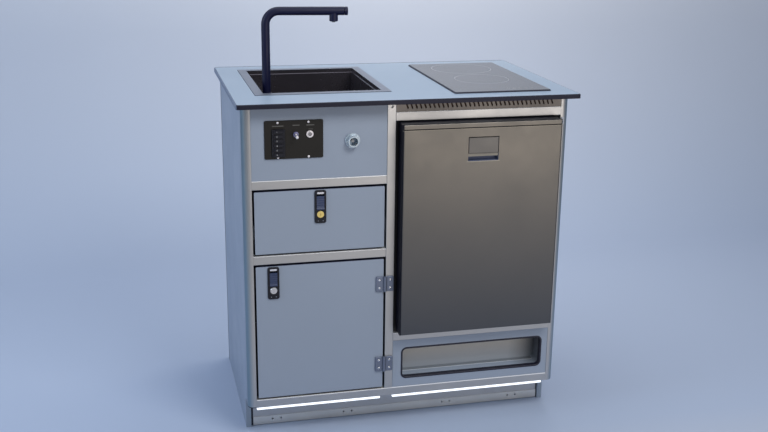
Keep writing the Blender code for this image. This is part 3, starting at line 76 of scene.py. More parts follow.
camera = bpy.data.objects.new("camera", bpy.data.cameras.new("camera"))
bpy.context.scene.collection.objects.link(camera)
camera.matrix_world = Matrix.Translation(eye) @ Matrix(camera_axes()).transposed().to_4x4()
camera.data.lens = lens_mm
camera.data.sensor_width = sensor_mm
bpy.context.scene.camera = camera
bpy.context.scene.view_settings.view_transform = "Standard"
print("camera", round(eye.length, 2), "m from the middle of the floor")

# %% [markdown]
# ## Colours and materials
# Colours are easiest to judge as the numbers of a picture, 0 to 255. Shaders work with linear light, so each
# colour is turned into that first. Every finish starts from one Principled shader, and the values that are the
# same all over the surface are set on the shader itself.

# %% Colour and material helpers


def tint(red, green, blue):
    """A picture's colour, 0 to 255, as linear light."""
    def linear(value):
        share = value / 255
        return share / 12.92 if share <= 0.04045 else ((share + 0.055) / 1.055) ** 2.4
    return linear(red), linear(green), linear(blue), 1.0


def shader_of(material):
    return material.node_tree.nodes["Principled BSDF"]


def new_material(name, **plain):
    """A material with one Principled shader; plain values go straight onto its sockets."""
    material = bpy.data.materials.new(name)
    material.use_nodes = True
    for socket, value in plain.items():
        shader_of(material).inputs[socket.replace("_", " ")].default_value = value
    return material


def feed(tree, socket, value):
    """Links a socket, or sets its plain value."""
    if isinstance(value, bpy.types.NodeSocket):
        tree.links.new(value, socket)
    elif value is not None:
        socket.default_value = value


def sum_node(tree, operation, *values, clamp=False):
    node = tree.nodes.new("ShaderNodeMath")
    node.operation = operation
    node.use_clamp = clamp
    for socket, value in zip(node.inputs, values):
        feed(tree, socket, value)
    return node.outputs[0]


def vector_node(tree, operation, *values):
    node = tree.nodes.new("ShaderNodeVectorMath")
    node.operation = operation
    for socket, value in zip(node.inputs, values):
        feed(tree, socket, value)
    return node.outputs["Value"] if operation in ("DOT_PRODUCT", "LENGTH", "DISTANCE") else node.outputs[0]


def noise_node(tree, vector, scale, detail=2.0, roughness=0.5):
    node = tree.nodes.new("ShaderNodeTexNoise")
    feed(tree, node.inputs["Vector"], vector)
    feed(tree, node.inputs["Scale"], scale)
    node.inputs["Detail"].default_value = detail
    node.inputs["Roughness"].default_value = roughness
    return node.outputs[0]


def range_node(tree, value, low, high, new_low, new_high):
    node = tree.nodes.new("ShaderNodeMapRange")
    for socket, number in zip(node.inputs, (value, low, high, new_low, new_high)):
        feed(tree, socket, number)
    return node.outputs[0]


print("front panel blue-grey in linear light:", [round(value, 3) for value in tint(130, 140, 157)[:3]])

# %% [markdown]
# ## Shared effects
# The same few effects come back in many finishes: fine grain, drawn lines, worn edges, marks of handling, and
# masks that pick one side or one zone of a solid. Copying the nodes into each material would work, but a node
# group is made once, has named inputs, and puts out only colours, masks and heights.

# %% Group helper


def shader_group(name, inputs, outputs):
    """An empty group with its sockets; returns it with its input and output nodes."""
    group = bpy.data.node_groups.new(name, "ShaderNodeTree")
    for label, kind, value in inputs:
        group.interface.new_socket(label, in_out="INPUT", socket_type="NodeSocket" + kind).default_value = value
    for label, kind in outputs:
        group.interface.new_socket(label, in_out="OUTPUT", socket_type="NodeSocket" + kind)
    return group, group.nodes.new("NodeGroupInput").outputs, group.nodes.new("NodeGroupOutput").inputs


def place_group(material, group, **values):
    """Puts a group into a material and sets its inputs; returns its outputs."""
    tree = material.node_tree
    node = tree.nodes.new("ShaderNodeGroup")
    node.node_tree = group
    for label, value in values.items():
        feed(tree, node.inputs[label.replace("_", " ")], value)
    return node.outputs


# %% [markdown]
# ### Fine grain
# Laminate, powder coat and moulded plastic are never quite even. One noise gives the tiny bumps and a much larger
# one makes the colour drift by a few percent.

# %% Fine grain group
fine_grain, given, put_out = shader_group(
    "Fine Grain",
    [("Colour", "Color", (0.5, 0.5, 0.5, 1)), ("Scale", "Float", 900.0), ("Drift", "Float", 0.04)],
    [("Colour", "Color"), ("Height", "Float")])
place = fine_grain.nodes.new("ShaderNodeTexCoord").outputs["Object"]
feed(fine_grain, put_out["Height"], noise_node(fine_grain, place, given["Scale"], 3.0, 0.6))
wide = noise_node(fine_grain, place, 4.0, 2.0)
fleck = noise_node(fine_grain, place, given["Scale"], 1.0)
uneven = sum_node(fine_grain, "ADD", sum_node(fine_grain, "MULTIPLY", wide, 0.7),
                  sum_node(fine_grain, "MULTIPLY", fleck, 0.3))
swing = sum_node(fine_grain, "MULTIPLY", sum_node(fine_grain, "SUBTRACT", uneven, 0.5),
                 sum_node(fine_grain, "MULTIPLY", given["Drift"], 4.0))
scaled = fine_grain.nodes.new("ShaderNodeVectorMath")
scaled.operation = "SCALE"
feed(fine_grain, scaled.inputs[0], given["Colour"])
feed(fine_grain, scaled.inputs["Scale"], sum_node(fine_grain, "ADD", swing, 1.0))
feed(fine_grain, put_out["Colour"], scaled.outputs[0])
print(fine_grain.name, "has", len(fine_grain.nodes), "nodes")

# %% [markdown]
# ### Drawn lines
# Extruded and brushed metal has fine lines that all run one way. Stretching a noise along that way gives them.

# %% Drawn lines group
drawn_lines, given, put_out = shader_group(
    "Drawn Lines",
    [("Stretch", "Vector", (900.0, 900.0, 6.0))],
    [("Height", "Float")])
place = drawn_lines.nodes.new("ShaderNodeTexCoord").outputs["Object"]
stretched = vector_node(drawn_lines, "MULTIPLY", place, given["Stretch"])
feed(drawn_lines, put_out["Height"], noise_node(drawn_lines, stretched, 1.0, 3.0, 0.6))
print(drawn_lines.name, "has", len(drawn_lines.nodes), "nodes")

# %% [markdown]
# ### Worn edges
# Paint and plating wear first on outer edges. The Bevel node gives the normal that the surface would have if its
# edges were rounded. Where that differs from the real normal there is an edge, and a noise breaks it up.

# %% Edge wear group
edge_wear, given, put_out = shader_group(
    "Edge Wear",
    [("Width", "Float", 0.8 * mm), ("Amount", "Float", 0.5)],
    [("Mask", "Float")])
rounded = edge_wear.nodes.new("ShaderNodeBevel")
rounded.samples = 4
feed(edge_wear, rounded.inputs["Radius"], given["Width"])
real = edge_wear.nodes.new("ShaderNodeNewGeometry").outputs["Normal"]
alike = vector_node(edge_wear, "DOT_PRODUCT", rounded.outputs[0], real)
bend = range_node(edge_wear, alike, 0.98, 0.75, 0.0, 1.0)
place = edge_wear.nodes.new("ShaderNodeTexCoord").outputs["Object"]
broken = range_node(edge_wear, noise_node(edge_wear, place, 60.0, 4.0, 0.7), 0.40, 0.62, 0.15, 1.0)
feed(edge_wear, put_out["Mask"],
     sum_node(edge_wear, "MULTIPLY", sum_node(edge_wear, "MULTIPLY", bend, broken), given["Amount"], clamp=True))
print(edge_wear.name, "has", len(edge_wear.nodes), "nodes")

# %% [markdown]
# ### Marks of handling
# Hands and cloths leave a surface a little duller in some places than in others, so roughness swings slowly
# between two values.

# %% Handling marks group
handling, given, put_out = shader_group(
    "Handling Marks",
    [("Low", "Float", 0.35), ("High", "Float", 0.45), ("Scale", "Float", 7.0)],
    [("Roughness", "Float")])
place = handling.nodes.new("ShaderNodeTexCoord").outputs["Object"]
cloud = noise_node(handling, place, given["Scale"], 5.0, 0.65)
feed(handling, put_out["Roughness"], range_node(handling, cloud, 0.35, 0.65, given["Low"], given["High"]))
print(handling.name, "has", len(handling.nodes), "nodes")

# %% [markdown]
# ### Masks for a side, a zone and a ring
# Some solids show more than one material: the worktop is blue-grey on top and black at its edge, and a fridge is
# black outside and white inside. A mask picks faces by their own direction, or points by their place.

# %% Mask groups
side_mask, given, put_out = shader_group(
    "Side Mask", [("Towards", "Vector", (0, 0, 1)), ("Limit", "Float", 0.95)], [("Mask", "Float")])
own_normal = side_mask.nodes.new("ShaderNodeTexCoord").outputs["Normal"]
feed(side_mask, put_out["Mask"],
     sum_node(side_mask, "GREATER_THAN", vector_node(side_mask, "DOT_PRODUCT", own_normal, given["Towards"]),
              given["Limit"]))

zone_mask, given, put_out = shader_group(
    "Zone Mask", [("Low", "Vector", (0, 0, 0)), ("High", "Vector", (1, 1, 1))], [("Mask", "Float")])
place = zone_mask.nodes.new("ShaderNodeTexCoord").outputs["Object"]
nearest = vector_node(zone_mask, "MINIMUM", vector_node(zone_mask, "MAXIMUM", place, given["Low"]), given["High"])
feed(zone_mask, put_out["Mask"],
     sum_node(zone_mask, "LESS_THAN", vector_node(zone_mask, "DISTANCE", place, nearest), 0.01 * mm))

ring_mask, given, put_out = shader_group(
    "Ring Mask",
    [("Centre", "Vector", (0, 0, 0)), ("Radius", "Float", 0.09), ("Width", "Float", 1.5 * mm),
     ("Plane", "Vector", (1, 1, 0))],
    [("Mask", "Float")])
place = ring_mask.nodes.new("ShaderNodeTexCoord").outputs["Object"]
flat_place = vector_node(ring_mask, "MULTIPLY", place, given["Plane"])
reach = vector_node(ring_mask, "DISTANCE", flat_place, given["Centre"])
off_line = sum_node(ring_mask, "ABSOLUTE", sum_node(ring_mask, "SUBTRACT", reach, given["Radius"]))
feed(ring_mask, put_out["Mask"],
     sum_node(ring_mask, "LESS_THAN", off_line, sum_node(ring_mask, "MULTIPLY", given["Width"], 0.5)))
print(len(bpy.data.node_groups), "groups made")

# %% [markdown]
# ## How a finish is put together
# One function makes the usual finish: grain in the colour, fine bumps, roughness that drifts and worn edges. A
# second one lays another colour or value over part of it. With these two, each finish is a few lines, and its
# numbers say what it looks like.

# %% Finish helpers


def coated(name, colour, low, high, grain=900.0, depth=0.02, drift=0.04, worn=None, wear=0.4, lines=None, **plain):
    """A material with grain or drawn lines, handling marks and edges worn to another colour."""
    material = new_material(name, **plain)
    tree = material.node_tree
    shader = shader_of(material)
    surface = place_group(material, fine_grain, Colour=colour, Scale=grain, Drift=drift)
    feed(tree, shader.inputs["Base Color"], surface["Colour"])
    feed(tree, shader.inputs["Roughness"], place_group(material, handling, Low=low, High=high)["Roughness"])
    bump = tree.nodes.new("ShaderNodeBump")
    bump.inputs["Strength"].default_value = 0.5
    bump.inputs["Distance"].default_value = depth * mm
    height = surface["Height"] if lines is None else place_group(material, drawn_lines, Stretch=lines)["Height"]
    feed(tree, bump.inputs["Height"], height)
    feed(tree, shader.inputs["Normal"], bump.outputs[0])
    if worn is not None:
        overlay(material, place_group(material, edge_wear, Amount=wear)["Mask"], worn)
    return material


def overlay(material, mask, value, socket="Base Color"):
    """Lays a colour or a number over what a socket already has, where the mask is 1."""
    tree = material.node_tree
    target = shader_of(material).inputs[socket]
    mix = tree.nodes.new("ShaderNodeMix")
    colour = socket == "Base Color"
    mix.data_type = "RGBA" if colour else "FLOAT"
    first, second = (mix.inputs[6], mix.inputs[7]) if colour else (mix.inputs[2], mix.inputs[3])
    before = target.links[0].from_socket if target.is_linked else target.default_value
    feed(tree, first, before)
    feed(tree, second, value)
    feed(tree, mix.inputs[0], mask)
    feed(tree, target, mix.outputs[2] if colour else mix.outputs[0])


def coordinate(tree, axis, kind="Object"):
    """One number of the place on the object, or of its normal."""
    split = tree.nodes.new("ShaderNodeSeparateXYZ")
    feed(tree, split.inputs[0], tree.nodes.new("ShaderNodeTexCoord").outputs[kind])
    return split.outputs[axis]


def zone_of(material, low, high):
    """A mask that is 1 inside a box."""
    return place_group(material, zone_mask, Low=tuple(low), High=tuple(high))["Mask"]


def disc_of(material, middle, inner, outer):
    """A mask that is 1 between two radii round a point of the front."""
    return place_group(material, ring_mask, Centre=(middle.x, 0, middle.z), Radius=(inner + outer) / 2,
                       Width=outer - inner, Plane=(1, 0, 1))["Mask"]


def put_on(material, *names):
    """Gives a finish to solids through their own material slots."""
    for name in names:
        mesh = solids[name].data
        mesh.materials.clear()
        mesh.materials.append(material)
        finished.add(name)
    print(material.name, "on", len(names), "solids")


finished = set()

# %% [markdown]
# ## Anodised profile
# The frame is satin anodised aluminium. The lines of the extrusion run along each bar, so posts and rails need the
# lines turned. Faces that look up get a painted highlight, a thin bright line, and faces that look to the sides,
# such as the round corners of the posts, get a cool painted reflection. The top edges of two rails carry the same
# painted highlight, narrow dark strips at the ends of the plinth are painted shadow, and the vent grille is painted
# darker as painted shade under the worktop. The lowest few millimetres of the left post are black.

# %% Frame finishes
silver = tint(181, 182, 185)
bare_silver = tint(222, 220, 214)
painted_cool_reflection = tint(135, 154, 166)
painted_highlight = tint(236, 238, 242)


def profile_finish(name, lines):
    """Drawn aluminium with a painted highlight where it looks up and a cool painted reflection where it looks aside.
    """
    material = coated(name, silver, 0.34, 0.44, drift=0.02, depth=0.015, worn=bare_silver, wear=0.3, lines=lines,
                      Metallic=0.9)
    tree = material.node_tree
    sideways = sum_node(tree, "ABSOLUTE", coordinate(tree, "X", "Normal"))
    # Faces that look to the sides get a cool painted reflection.
    overlay(material, range_node(tree, sideways, 0.15, 0.75, 0.0, 1.0), painted_cool_reflection)
    # Faces that look up get a painted highlight, a thin bright line.
    upward = place_group(material, side_mask, Towards=(0, 0, 1), Limit=0.2)["Mask"]
    overlay(material, upward, painted_highlight)
    overlay(material, upward, 0.3, "Metallic")
    return material


upright = profile_finish("Anodised Upright", (700.0, 700.0, 5.0))
post_low, post_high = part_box("front_post_left")
# The foot of the left post is black for its lowest few millimetres.
dark_post_foot = zone_of(upright, post_low - Vector((mm, mm, mm)), (post_high.x - 2 * mm, post_high.y, post_low.z + 2.4 * mm))
overlay(upright, dark_post_foot, tint(26, 30, 44))
overlay(upright, dark_post_foot, 0.0, "Metallic")
crosswise = profile_finish("Anodised Crosswise", (5.0, 700.0, 700.0))
for name, thick in (("bottom_rail_front", 2.2 * mm), ("upper_rail_left", 1.4 * mm)):
    rail_low, rail_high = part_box(name)
    # A painted highlight along the top edge of each of these rails.
    painted_glint = zone_of(crosswise, (rail_low.x, rail_low.y - mm, rail_high.z - thick), rail_high + Vector((0, 0, mm)))
    overlay(crosswise, painted_glint, painted_highlight)
    overlay(crosswise, painted_glint, 0.4, "Metallic")
put_on(upright, "front_post_left", "front_post_middle", "front_post_right", "rear_post_left", "rear_post_right")
put_on(crosswise, "top_rail_right", "upper_rail_left", "middle_rail_left", "fridge_rail", "bottom_rail_front",
       "rear_rail_top", "rear_rail_bottom")
plinth = profile_finish("Anodised Plinth", (5.0, 700.0, 700.0))
plinth_low, plinth_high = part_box("plinth_board")
band = zone_of(plinth, plinth_low - Vector((mm, mm, mm)),
               (plinth_high.x + mm, plinth_low.y + 0.3 * mm, plinth_high.z))
overlay(plinth, band, tint(214, 214, 212))
# Narrow dark strips at both ends of the plinth are painted shadow in the gaps beside the side boards.
for left, right in ((plinth_low.x - mm, plinth_low.x + 6.5 * mm), (plinth_high.x - 2.5 * mm, plinth_high.x + mm)):
    painted_end_shadow = zone_of(plinth, (left, plinth_low.y - mm, -mm), (right, plinth_high.y, plinth_high.z))
    overlay(plinth, painted_end_shadow, tint(24, 27, 40))
    overlay(plinth, painted_end_shadow, 0.1, "Metallic")
put_on(plinth, "plinth_board")
# The grille's colour is darkened as painted shade under the worktop's overhang.
grille_in_painted_shade = coated("Vent Grille", tint(134, 128, 124), 0.46, 0.58, drift=0.06, depth=0.02, worn=silver, wear=0.3,
                lines=(5.0, 700.0, 700.0), Metallic=0.6)
put_on(grille_in_painted_shade, "vent_strip")

# %% [markdown]
# ## Blue-grey laminate
# Panels are faced board: a fine, even texture, dull, with a cool blue-grey colour. The drawer front and the door
# are cut from the same board, but their edges are black. A side mask keeps the laminate on the faces that look
# forwards or backwards and leaves the rest black. A light strip covers the side boards' edge at the toe kick.

# %% Panel finishes
blue_grey = tint(142, 154, 173)
edge_black = tint(30, 30, 62)


def laminate(name):
    return coated(name, blue_grey, 0.40, 0.52, grain=1400.0, depth=0.02, drift=0.03)


panel = laminate("Blue Grey Laminate")
put_on(panel, "fascia_panel", "niche_panel")
side_board = laminate("Side Board")
kick_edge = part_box("front_post_left")[0].y + 80 * mm
low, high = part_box("side_panel_left")[0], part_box("side_panel_right")[1]
overlay(side_board, zone_of(side_board, (low.x, kick_edge - mm, 0), (high.x, kick_edge + 0.6 * mm, 88 * mm)),
        tint(130, 144, 162))
put_on(side_board, "side_panel_left", "side_panel_right")
door_panel = laminate("Laminate With Black Edge")
for towards in ((0, -1, 0), (0, 1, 0)):
    mask = place_group(door_panel, side_mask, Towards=towards)["Mask"]
    edge = mask if towards[1] < 0 else sum_node(door_panel.node_tree, "ADD", edge, mask, clamp=True)
overlay(door_panel, sum_node(door_panel.node_tree, "SUBTRACT", 1.0, edge), edge_black)
put_on(door_panel, "drawer_front", "cupboard_door")

# %% [markdown]
# ## Worktop
# The top is a compact board: the decor is only a skin, and the core that shows at the edge is black all through.
# Only faces that look straight up are blue-grey, so the small bevel belongs to the core, as when it is routed. At
# the sides and at the back a strip a few millimetres wide of the top stays black. The edge on the left is painted
# paler, as painted light from the left.

# %% Worktop finish
top_blue = tint(144, 162, 183)
core_black = tint(12, 13, 36)
worktop = coated("Worktop Laminate", core_black, 0.45, 0.55, grain=1100.0, depth=0.02, drift=0.05,
                 Specular_IOR_Level=0.35)
skin = place_group(worktop, fine_grain, Colour=top_blue, Scale=1500.0, Drift=0.03)["Colour"]
top_low, top_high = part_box("worktop")
# A strip a few millimetres wide along the sides and the back of the top keeps the black core colour.
skinned = place_group(worktop, zone_mask, Low=(top_low.x + 3 * mm, top_low.y, top_low.z),
                      High=(top_high.x - 3.4 * mm, top_high.y - 8 * mm, top_high.z + mm))["Mask"]
upward = place_group(worktop, side_mask, Towards=(0, 0, 1), Limit=0.98)["Mask"]
skinned = sum_node(worktop.node_tree, "MULTIPLY", upward, skinned)
overlay(worktop, skinned, skin)
overlay(worktop, skinned, 0.36, "Roughness")
# In the photograph the edge on the left is paler than the core; here it is painted paler, as painted light from the
# left.
painted_left_light = place_group(worktop, side_mask, Towards=(-1, 0, 0), Limit=0.6)["Mask"]
overlay(worktop, painted_left_light, tint(110, 122, 145))
put_on(worktop, "worktop")

# %% [markdown]
# ## Boards inside
# Boards that hide behind the front are plain grey on the inside of the carcass, a little rougher than the panels.
# The box of the niche is folded sheet with a warm grey coat. Its floor and the foot of its back wall get a cool
# painted reflection, its right wall and right end get painted shade, and a wide bend between floor and back is
# painted as a grey band with a bright painted highlight along it.

# %% Inside finishes
board = coated("Grey Board", tint(139, 144, 152), 0.50, 0.62, grain=800.0, depth=0.04, drift=0.05,
               worn=tint(112, 100, 84), wear=0.3)
put_on(board, "rear_panel", "divider_panel", "floor_panel", "fridge_deck", "drawer_box")
niche_sheet = coated("Niche Sheet", tint(182, 179, 174), 0.38, 0.48, grain=900.0, depth=0.02, drift=0.04)
# The floor gets a cool painted reflection and the right wall painted shade.
for towards, colour in (((0, 0, 1), tint(150, 172, 206)), ((-1, 0, 0), tint(122, 124, 130))):
    overlay(niche_sheet, place_group(niche_sheet, side_mask, Towards=towards, Limit=0.6)["Mask"], colour)
box_low, box_high = (Vector(corner) for corner in openings["niche"])
tree = niche_sheet.node_tree
# The foot of the back wall gets a bluish painted reflection.
overlay(niche_sheet, range_node(tree, coordinate(tree, "Z"), box_low.z + 52 * mm, box_low.z, 0.0, 0.8),
        tint(160, 172, 188))
# Along the bend a bright painted highlight, and behind it a grey band for the bend itself.
for nearer, colour in ((17, tint(226, 234, 246)), (13, tint(142, 150, 160))):
    bend = zone_of(niche_sheet, (box_low.x - 0.02, box_high.y - nearer * mm, box_low.z - 8 * mm),
                   (box_high.x + 0.02, box_high.y + 8 * mm, box_low.z - 2.4 * mm))
    overlay(niche_sheet, bend, colour)
# Painted shade towards the right end of the box.
painted_end_shade = range_node(tree, coordinate(tree, "X"), box_high.x - 78 * mm, box_high.x + 4 * mm, 0.0, 0.7)
overlay(niche_sheet, painted_end_shade, tint(62, 65, 72))
put_on(niche_sheet, "niche_box")

# %% [markdown]
# ## Sink
# The bowl is dark coated steel with a deep gloss, and its flange is ground to satin; the flange's lighter grey is
# partly a painted reflection of the pale room. The flange is the only part above the worktop, so a zone mask by
# height parts the two.

# %% Sink finish
sink_low, sink_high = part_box("sink")
sink = coated("Dark Sink Steel", tint(88, 84, 92), 0.22, 0.34, drift=0.05, depth=0.01,
              lines=(500.0, 6.0, 500.0), Metallic=0.75)
above_top = place_group(sink, zone_mask, Low=(sink_low.x, sink_low.y, top_high.z),
                        High=tuple(sink_high + Vector((mm, mm, mm))))["Mask"]
# The flange's lighter grey is partly its satin finish and partly a painted reflection of the pale room.
overlay(sink, above_top, tint(134, 140, 153))
overlay(sink, above_top, 0.36, "Roughness")
overlay(sink, above_top, 1.0, "Metallic")
put_on(sink, "sink")

# %% [markdown]
# ## Chrome, brass, nickel and zinc
# Plated parts are metals with little grain. Chrome is nearly a mirror, brass is warm, nickel duller, and cast
# zinc shows a grey skin with fine pits. Their edges polish with use, so the worn colour is lighter.

# %% Plated finishes
chrome = coated("Polished Chrome", tint(214, 216, 222), 0.08, 0.18, grain=300.0, depth=0.004, drift=0.02,
                Metallic=1.0)
put_on(chrome, "sink_waste", "cupboard_latch_lock")
satin_chrome = coated("Satin Chrome", tint(236, 232, 238), 0.30, 0.40, grain=300.0, depth=0.004, drift=0.02,
                      Metallic=0.4)
button_low, button_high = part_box("button_body")
button_middle = (button_low + button_high) / 2
washer = disc_of(satin_chrome, button_middle, 9.8 * mm, 12 * mm)
overlay(satin_chrome, washer, tint(24, 22, 24))
overlay(satin_chrome, washer, 0.0, "Metallic")
put_on(satin_chrome, "toggle_lever", "button_body")
# The chrome bushing's blue tint is a painted reflection.
bushing_with_painted_blue = coated("Bushing Chrome", tint(150, 150, 186), 0.24, 0.34, grain=300.0, depth=0.004, drift=0.03,
                      Metallic=0.8)
put_on(bushing_with_painted_blue, "toggle_bushing")
brass = coated("Yellow Brass", tint(234, 210, 132), 0.26, 0.36, grain=500.0, depth=0.006, drift=0.04,
               worn=tint(250, 236, 186), wear=0.8, Metallic=0.7)
put_on(brass, "drawer_latch_lock")
nickel = coated("Satin Nickel", tint(182, 196, 209), 0.38, 0.48, grain=500.0, depth=0.008, drift=0.04,
                worn=tint(206, 214, 222), wear=0.5, Metallic=0.5)
socket_low, socket_high = (Vector(corner) for corner in openings["hose_socket"])
reach = Vector((2 * mm, -0.4 * mm, 2 * mm))
bore = zone_of(nickel, socket_low - reach, socket_high + Vector((2 * mm, 4 * mm, 2 * mm)))
overlay(nickel, bore, tint(176, 176, 180))
overlay(nickel, bore, 0.0, "Metallic")
put_on(nickel, "hose_outlet")
zinc = coated("Cast Zinc", tint(150, 156, 170), 0.34, 0.46, grain=700.0, depth=0.03, drift=0.06,
              worn=tint(196, 200, 208), wear=0.6, Metallic=0.9)
put_on(zinc, "drawer_runner_left", "drawer_runner_right", "hob_case")
hinge_zinc = coated("Dark Hinge Zinc", tint(108, 117, 138), 0.40, 0.52, grain=700.0, depth=0.03, drift=0.08,
                    worn=tint(158, 168, 196), wear=0.5, Metallic=0.5)
put_on(hinge_zinc, "upper_hinge_post_leaf", "upper_hinge_door_leaf", "lower_hinge_post_leaf",
       "lower_hinge_door_leaf")

# %% [markdown]
# ## Black parts
# The tap is powder coated, with a fine orange-peel surface. The control plate is smooth sheet with a dull coat,
# the fuse block and the latches are moulded, and the paddles of the latches are dark blue-grey.

# %% Black finishes
tap_coat = coated("Black Powder Coat", tint(6, 11, 48), 0.36, 0.48, grain=1800.0, depth=0.05, drift=0.10,
                  worn=tint(50, 54, 80), wear=0.2, Specular_IOR_Level=0.35)
put_on(tap_coat, "tap_base", "tap_spout", "tap_knob")
plate_coat = coated("Black Plate Coat", tint(26, 24, 22), 0.46, 0.58, grain=1500.0, depth=0.02, drift=0.08,
                    worn=tint(70, 68, 66), wear=0.3, Specular_IOR_Level=0.3)
put_on(plate_coat, "control_plate")
moulded = coated("Black Moulding", tint(15, 17, 29), 0.42, 0.54, grain=1000.0, depth=0.03, drift=0.08,
                 worn=tint(44, 48, 62), wear=0.4, Specular_IOR_Level=0.35)
put_on(moulded, "fuse_block", "drawer_latch_body", "cupboard_latch_body")
paddle_grey = coated("Paddle Grey", tint(50, 62, 94), 0.40, 0.50, grain=1000.0, depth=0.03, drift=0.06,
                     worn=tint(66, 74, 100), wear=0.4, Specular_IOR_Level=0.35)
put_on(paddle_grey, "drawer_latch_paddle", "cupboard_latch_paddle")
cap_grey = coated("Button Cap", tint(226, 222, 226), 0.36, 0.46, grain=900.0, depth=0.02, drift=0.05,
                  Metallic=0.3)
overlay(cap_grey, disc_of(cap_grey, button_middle, 0.0, 5.0 * mm), tint(86, 84, 88))
overlay(cap_grey, disc_of(cap_grey, button_middle, 1.8 * mm, 2.8 * mm), tint(176, 174, 178))
put_on(cap_grey, "button_cap")

# %% [markdown]
# ## Fridge
# The front of the door is a coated steel skin with fine upright lines, painted darker towards the floor as a painted
# reflection. Behind it the door is black. The groove near its top gets painted shadow, with a thin painted highlight
# under it. Round the handle's flap a painted shadow marks the gap, the grip below gets painted light, and a painted
# highlight lines the edge under the pocket. The cabinet is black outside and white inside. Zone masks follow the
# spaces that are listed with the solids, so the white stops where the space does.

# %% Fridge finishes
door_low, door_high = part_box("fridge_door")
skin_depth = 0.5 * mm
steel_brown = tint(113, 110, 106)
steel_dark = tint(80, 84, 92)
front_steel = coated("Fridge Steel", tint(17, 18, 30), 0.34, 0.44, drift=0.03, depth=0.01,
                     lines=(900.0, 900.0, 8.0), Specular_IOR_Level=0.15)
tree = front_steel.node_tree
wrap = zone_of(front_steel, door_low - Vector((mm, mm, mm)),
               (door_high.x + mm, door_low.y + skin_depth, door_high.z + mm))
# The steel is painted darker towards the floor, a painted reflection that is brighter at the top.
painted_reflection_fall = tree.nodes.new("ShaderNodeMix")
painted_reflection_fall.data_type = "RGBA"
feed(tree, painted_reflection_fall.inputs[0], range_node(tree, coordinate(tree, "Z"), door_low.z, door_high.z - 0.08, 0.9, 0.0))
feed(tree, painted_reflection_fall.inputs[6], steel_brown)
feed(tree, painted_reflection_fall.inputs[7], steel_dark)
skin = place_group(front_steel, fine_grain, Colour=painted_reflection_fall.outputs[2], Scale=1200.0, Drift=0.03)["Colour"]
overlay(front_steel, wrap, skin)
overlay(front_steel, wrap, 0.85, "Metallic")
# A thin painted highlight under the groove, and painted shadow in the groove near the top of the door.
for lower, upper, colour in ((16.9, 15.9, tint(152, 148, 138)), (16.1, 12.9, tint(26, 25, 34))):
    line = zone_of(front_steel, (door_low.x - mm, door_low.y - mm, door_high.z - lower * mm),
                   (door_high.x + mm, door_low.y + 6 * mm, door_high.z - upper * mm))
    overlay(front_steel, line, colour)

# %% Fridge handle finish
handle_low, handle_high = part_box("fridge_handle")
flap_edge, pocket_floor = door_high.z - 89 * mm, door_high.z - 111 * mm
pocket_blue, lip_painted_light, painted_gap_shadow = tint(98, 108, 138), tint(120, 118, 113), tint(34, 34, 42)
recess = zone_of(front_steel, (handle_low.x, door_low.y + mm, pocket_floor - mm),
                 (handle_high.x, door_low.y + 24 * mm, flap_edge))
overlay(front_steel, recess, pocket_blue)
# A painted highlight on the edge just under the pocket.
painted_edge_highlight = zone_of(front_steel, (handle_low.x, door_low.y - mm, pocket_floor - 2.2 * mm),
                     (handle_high.x, door_low.y + 0.9 * mm, pocket_floor))
overlay(front_steel, painted_edge_highlight, tint(140, 138, 132))
put_on(front_steel, "fridge_door")
handle_steel = coated("Fridge Handle Steel", tint(100, 99, 99), 0.34, 0.44, drift=0.03, depth=0.01,
                      lines=(900.0, 900.0, 8.0), worn=tint(130, 128, 124), wear=0.2, Metallic=0.85)
flap_left, flap_right = handle_low.x + 5 * mm, handle_high.x - 5 * mm
# The lip below the flap gets painted light, and the gap round the flap and under its edge painted shadow.
for x0, x1, z0, z1, colour, metal in (
        (handle_low.x, handle_high.x, handle_low.z - mm, flap_edge - 0.4 * mm, lip_painted_light, 0.5),
        (handle_low.x, handle_high.x, flap_edge - 0.4 * mm, flap_edge + 1.2 * mm, painted_gap_shadow, 0.2),
        (handle_low.x, flap_left + 1.2 * mm, flap_edge, handle_high.z, painted_gap_shadow, 0.2),
        (flap_right - 1.2 * mm, handle_high.x, flap_edge, handle_high.z, painted_gap_shadow, 0.2),
        (handle_low.x, handle_high.x, handle_high.z - 1.2 * mm, handle_high.z + mm, painted_gap_shadow, 0.2)):
    stripe = zone_of(handle_steel, (x0, handle_low.y - mm, z0), (x1, handle_high.y, z1))
    overlay(handle_steel, stripe, colour)
    overlay(handle_steel, stripe, metal, "Metallic")
put_on(handle_steel, "fridge_handle")

# %% Fridge cabinet and liner finishes
liner_white = coated("White Liner", tint(222, 226, 228), 0.22, 0.32, grain=500.0, depth=0.03, drift=0.02)
put_on(liner_white, "fridge_door_liner")
cabinet = coated("Fridge Cabinet", tint(20, 20, 24), 0.40, 0.50, grain=900.0, depth=0.02, drift=0.06)
for name in ("fridge_inside_upper", "fridge_inside_lower"):
    low, high = (Vector(corner) for corner in openings[name])
    reach = Vector((4 * mm, 4 * mm, 4 * mm))
    inside = place_group(cabinet, zone_mask, Low=tuple(low - reach - Vector((0, 0.05, 0))), High=tuple(high + reach))
    overlay(cabinet, inside["Mask"], tint(222, 226, 228))
put_on(cabinet, "fridge_cabinet")
rubber = coated("Door Seal", tint(30, 30, 32), 0.55, 0.70, grain=600.0, depth=0.03, drift=0.10)
put_on(rubber, "fridge_gasket")

# %% [markdown]
# ## Hob glass
# Ceramic glass is black and polished. Two cooking zones are printed as thin pale rings, and small marks in front
# show where the touch keys are. The print is part of the surface, so rings come from a mask by distance and not
# from mesh.

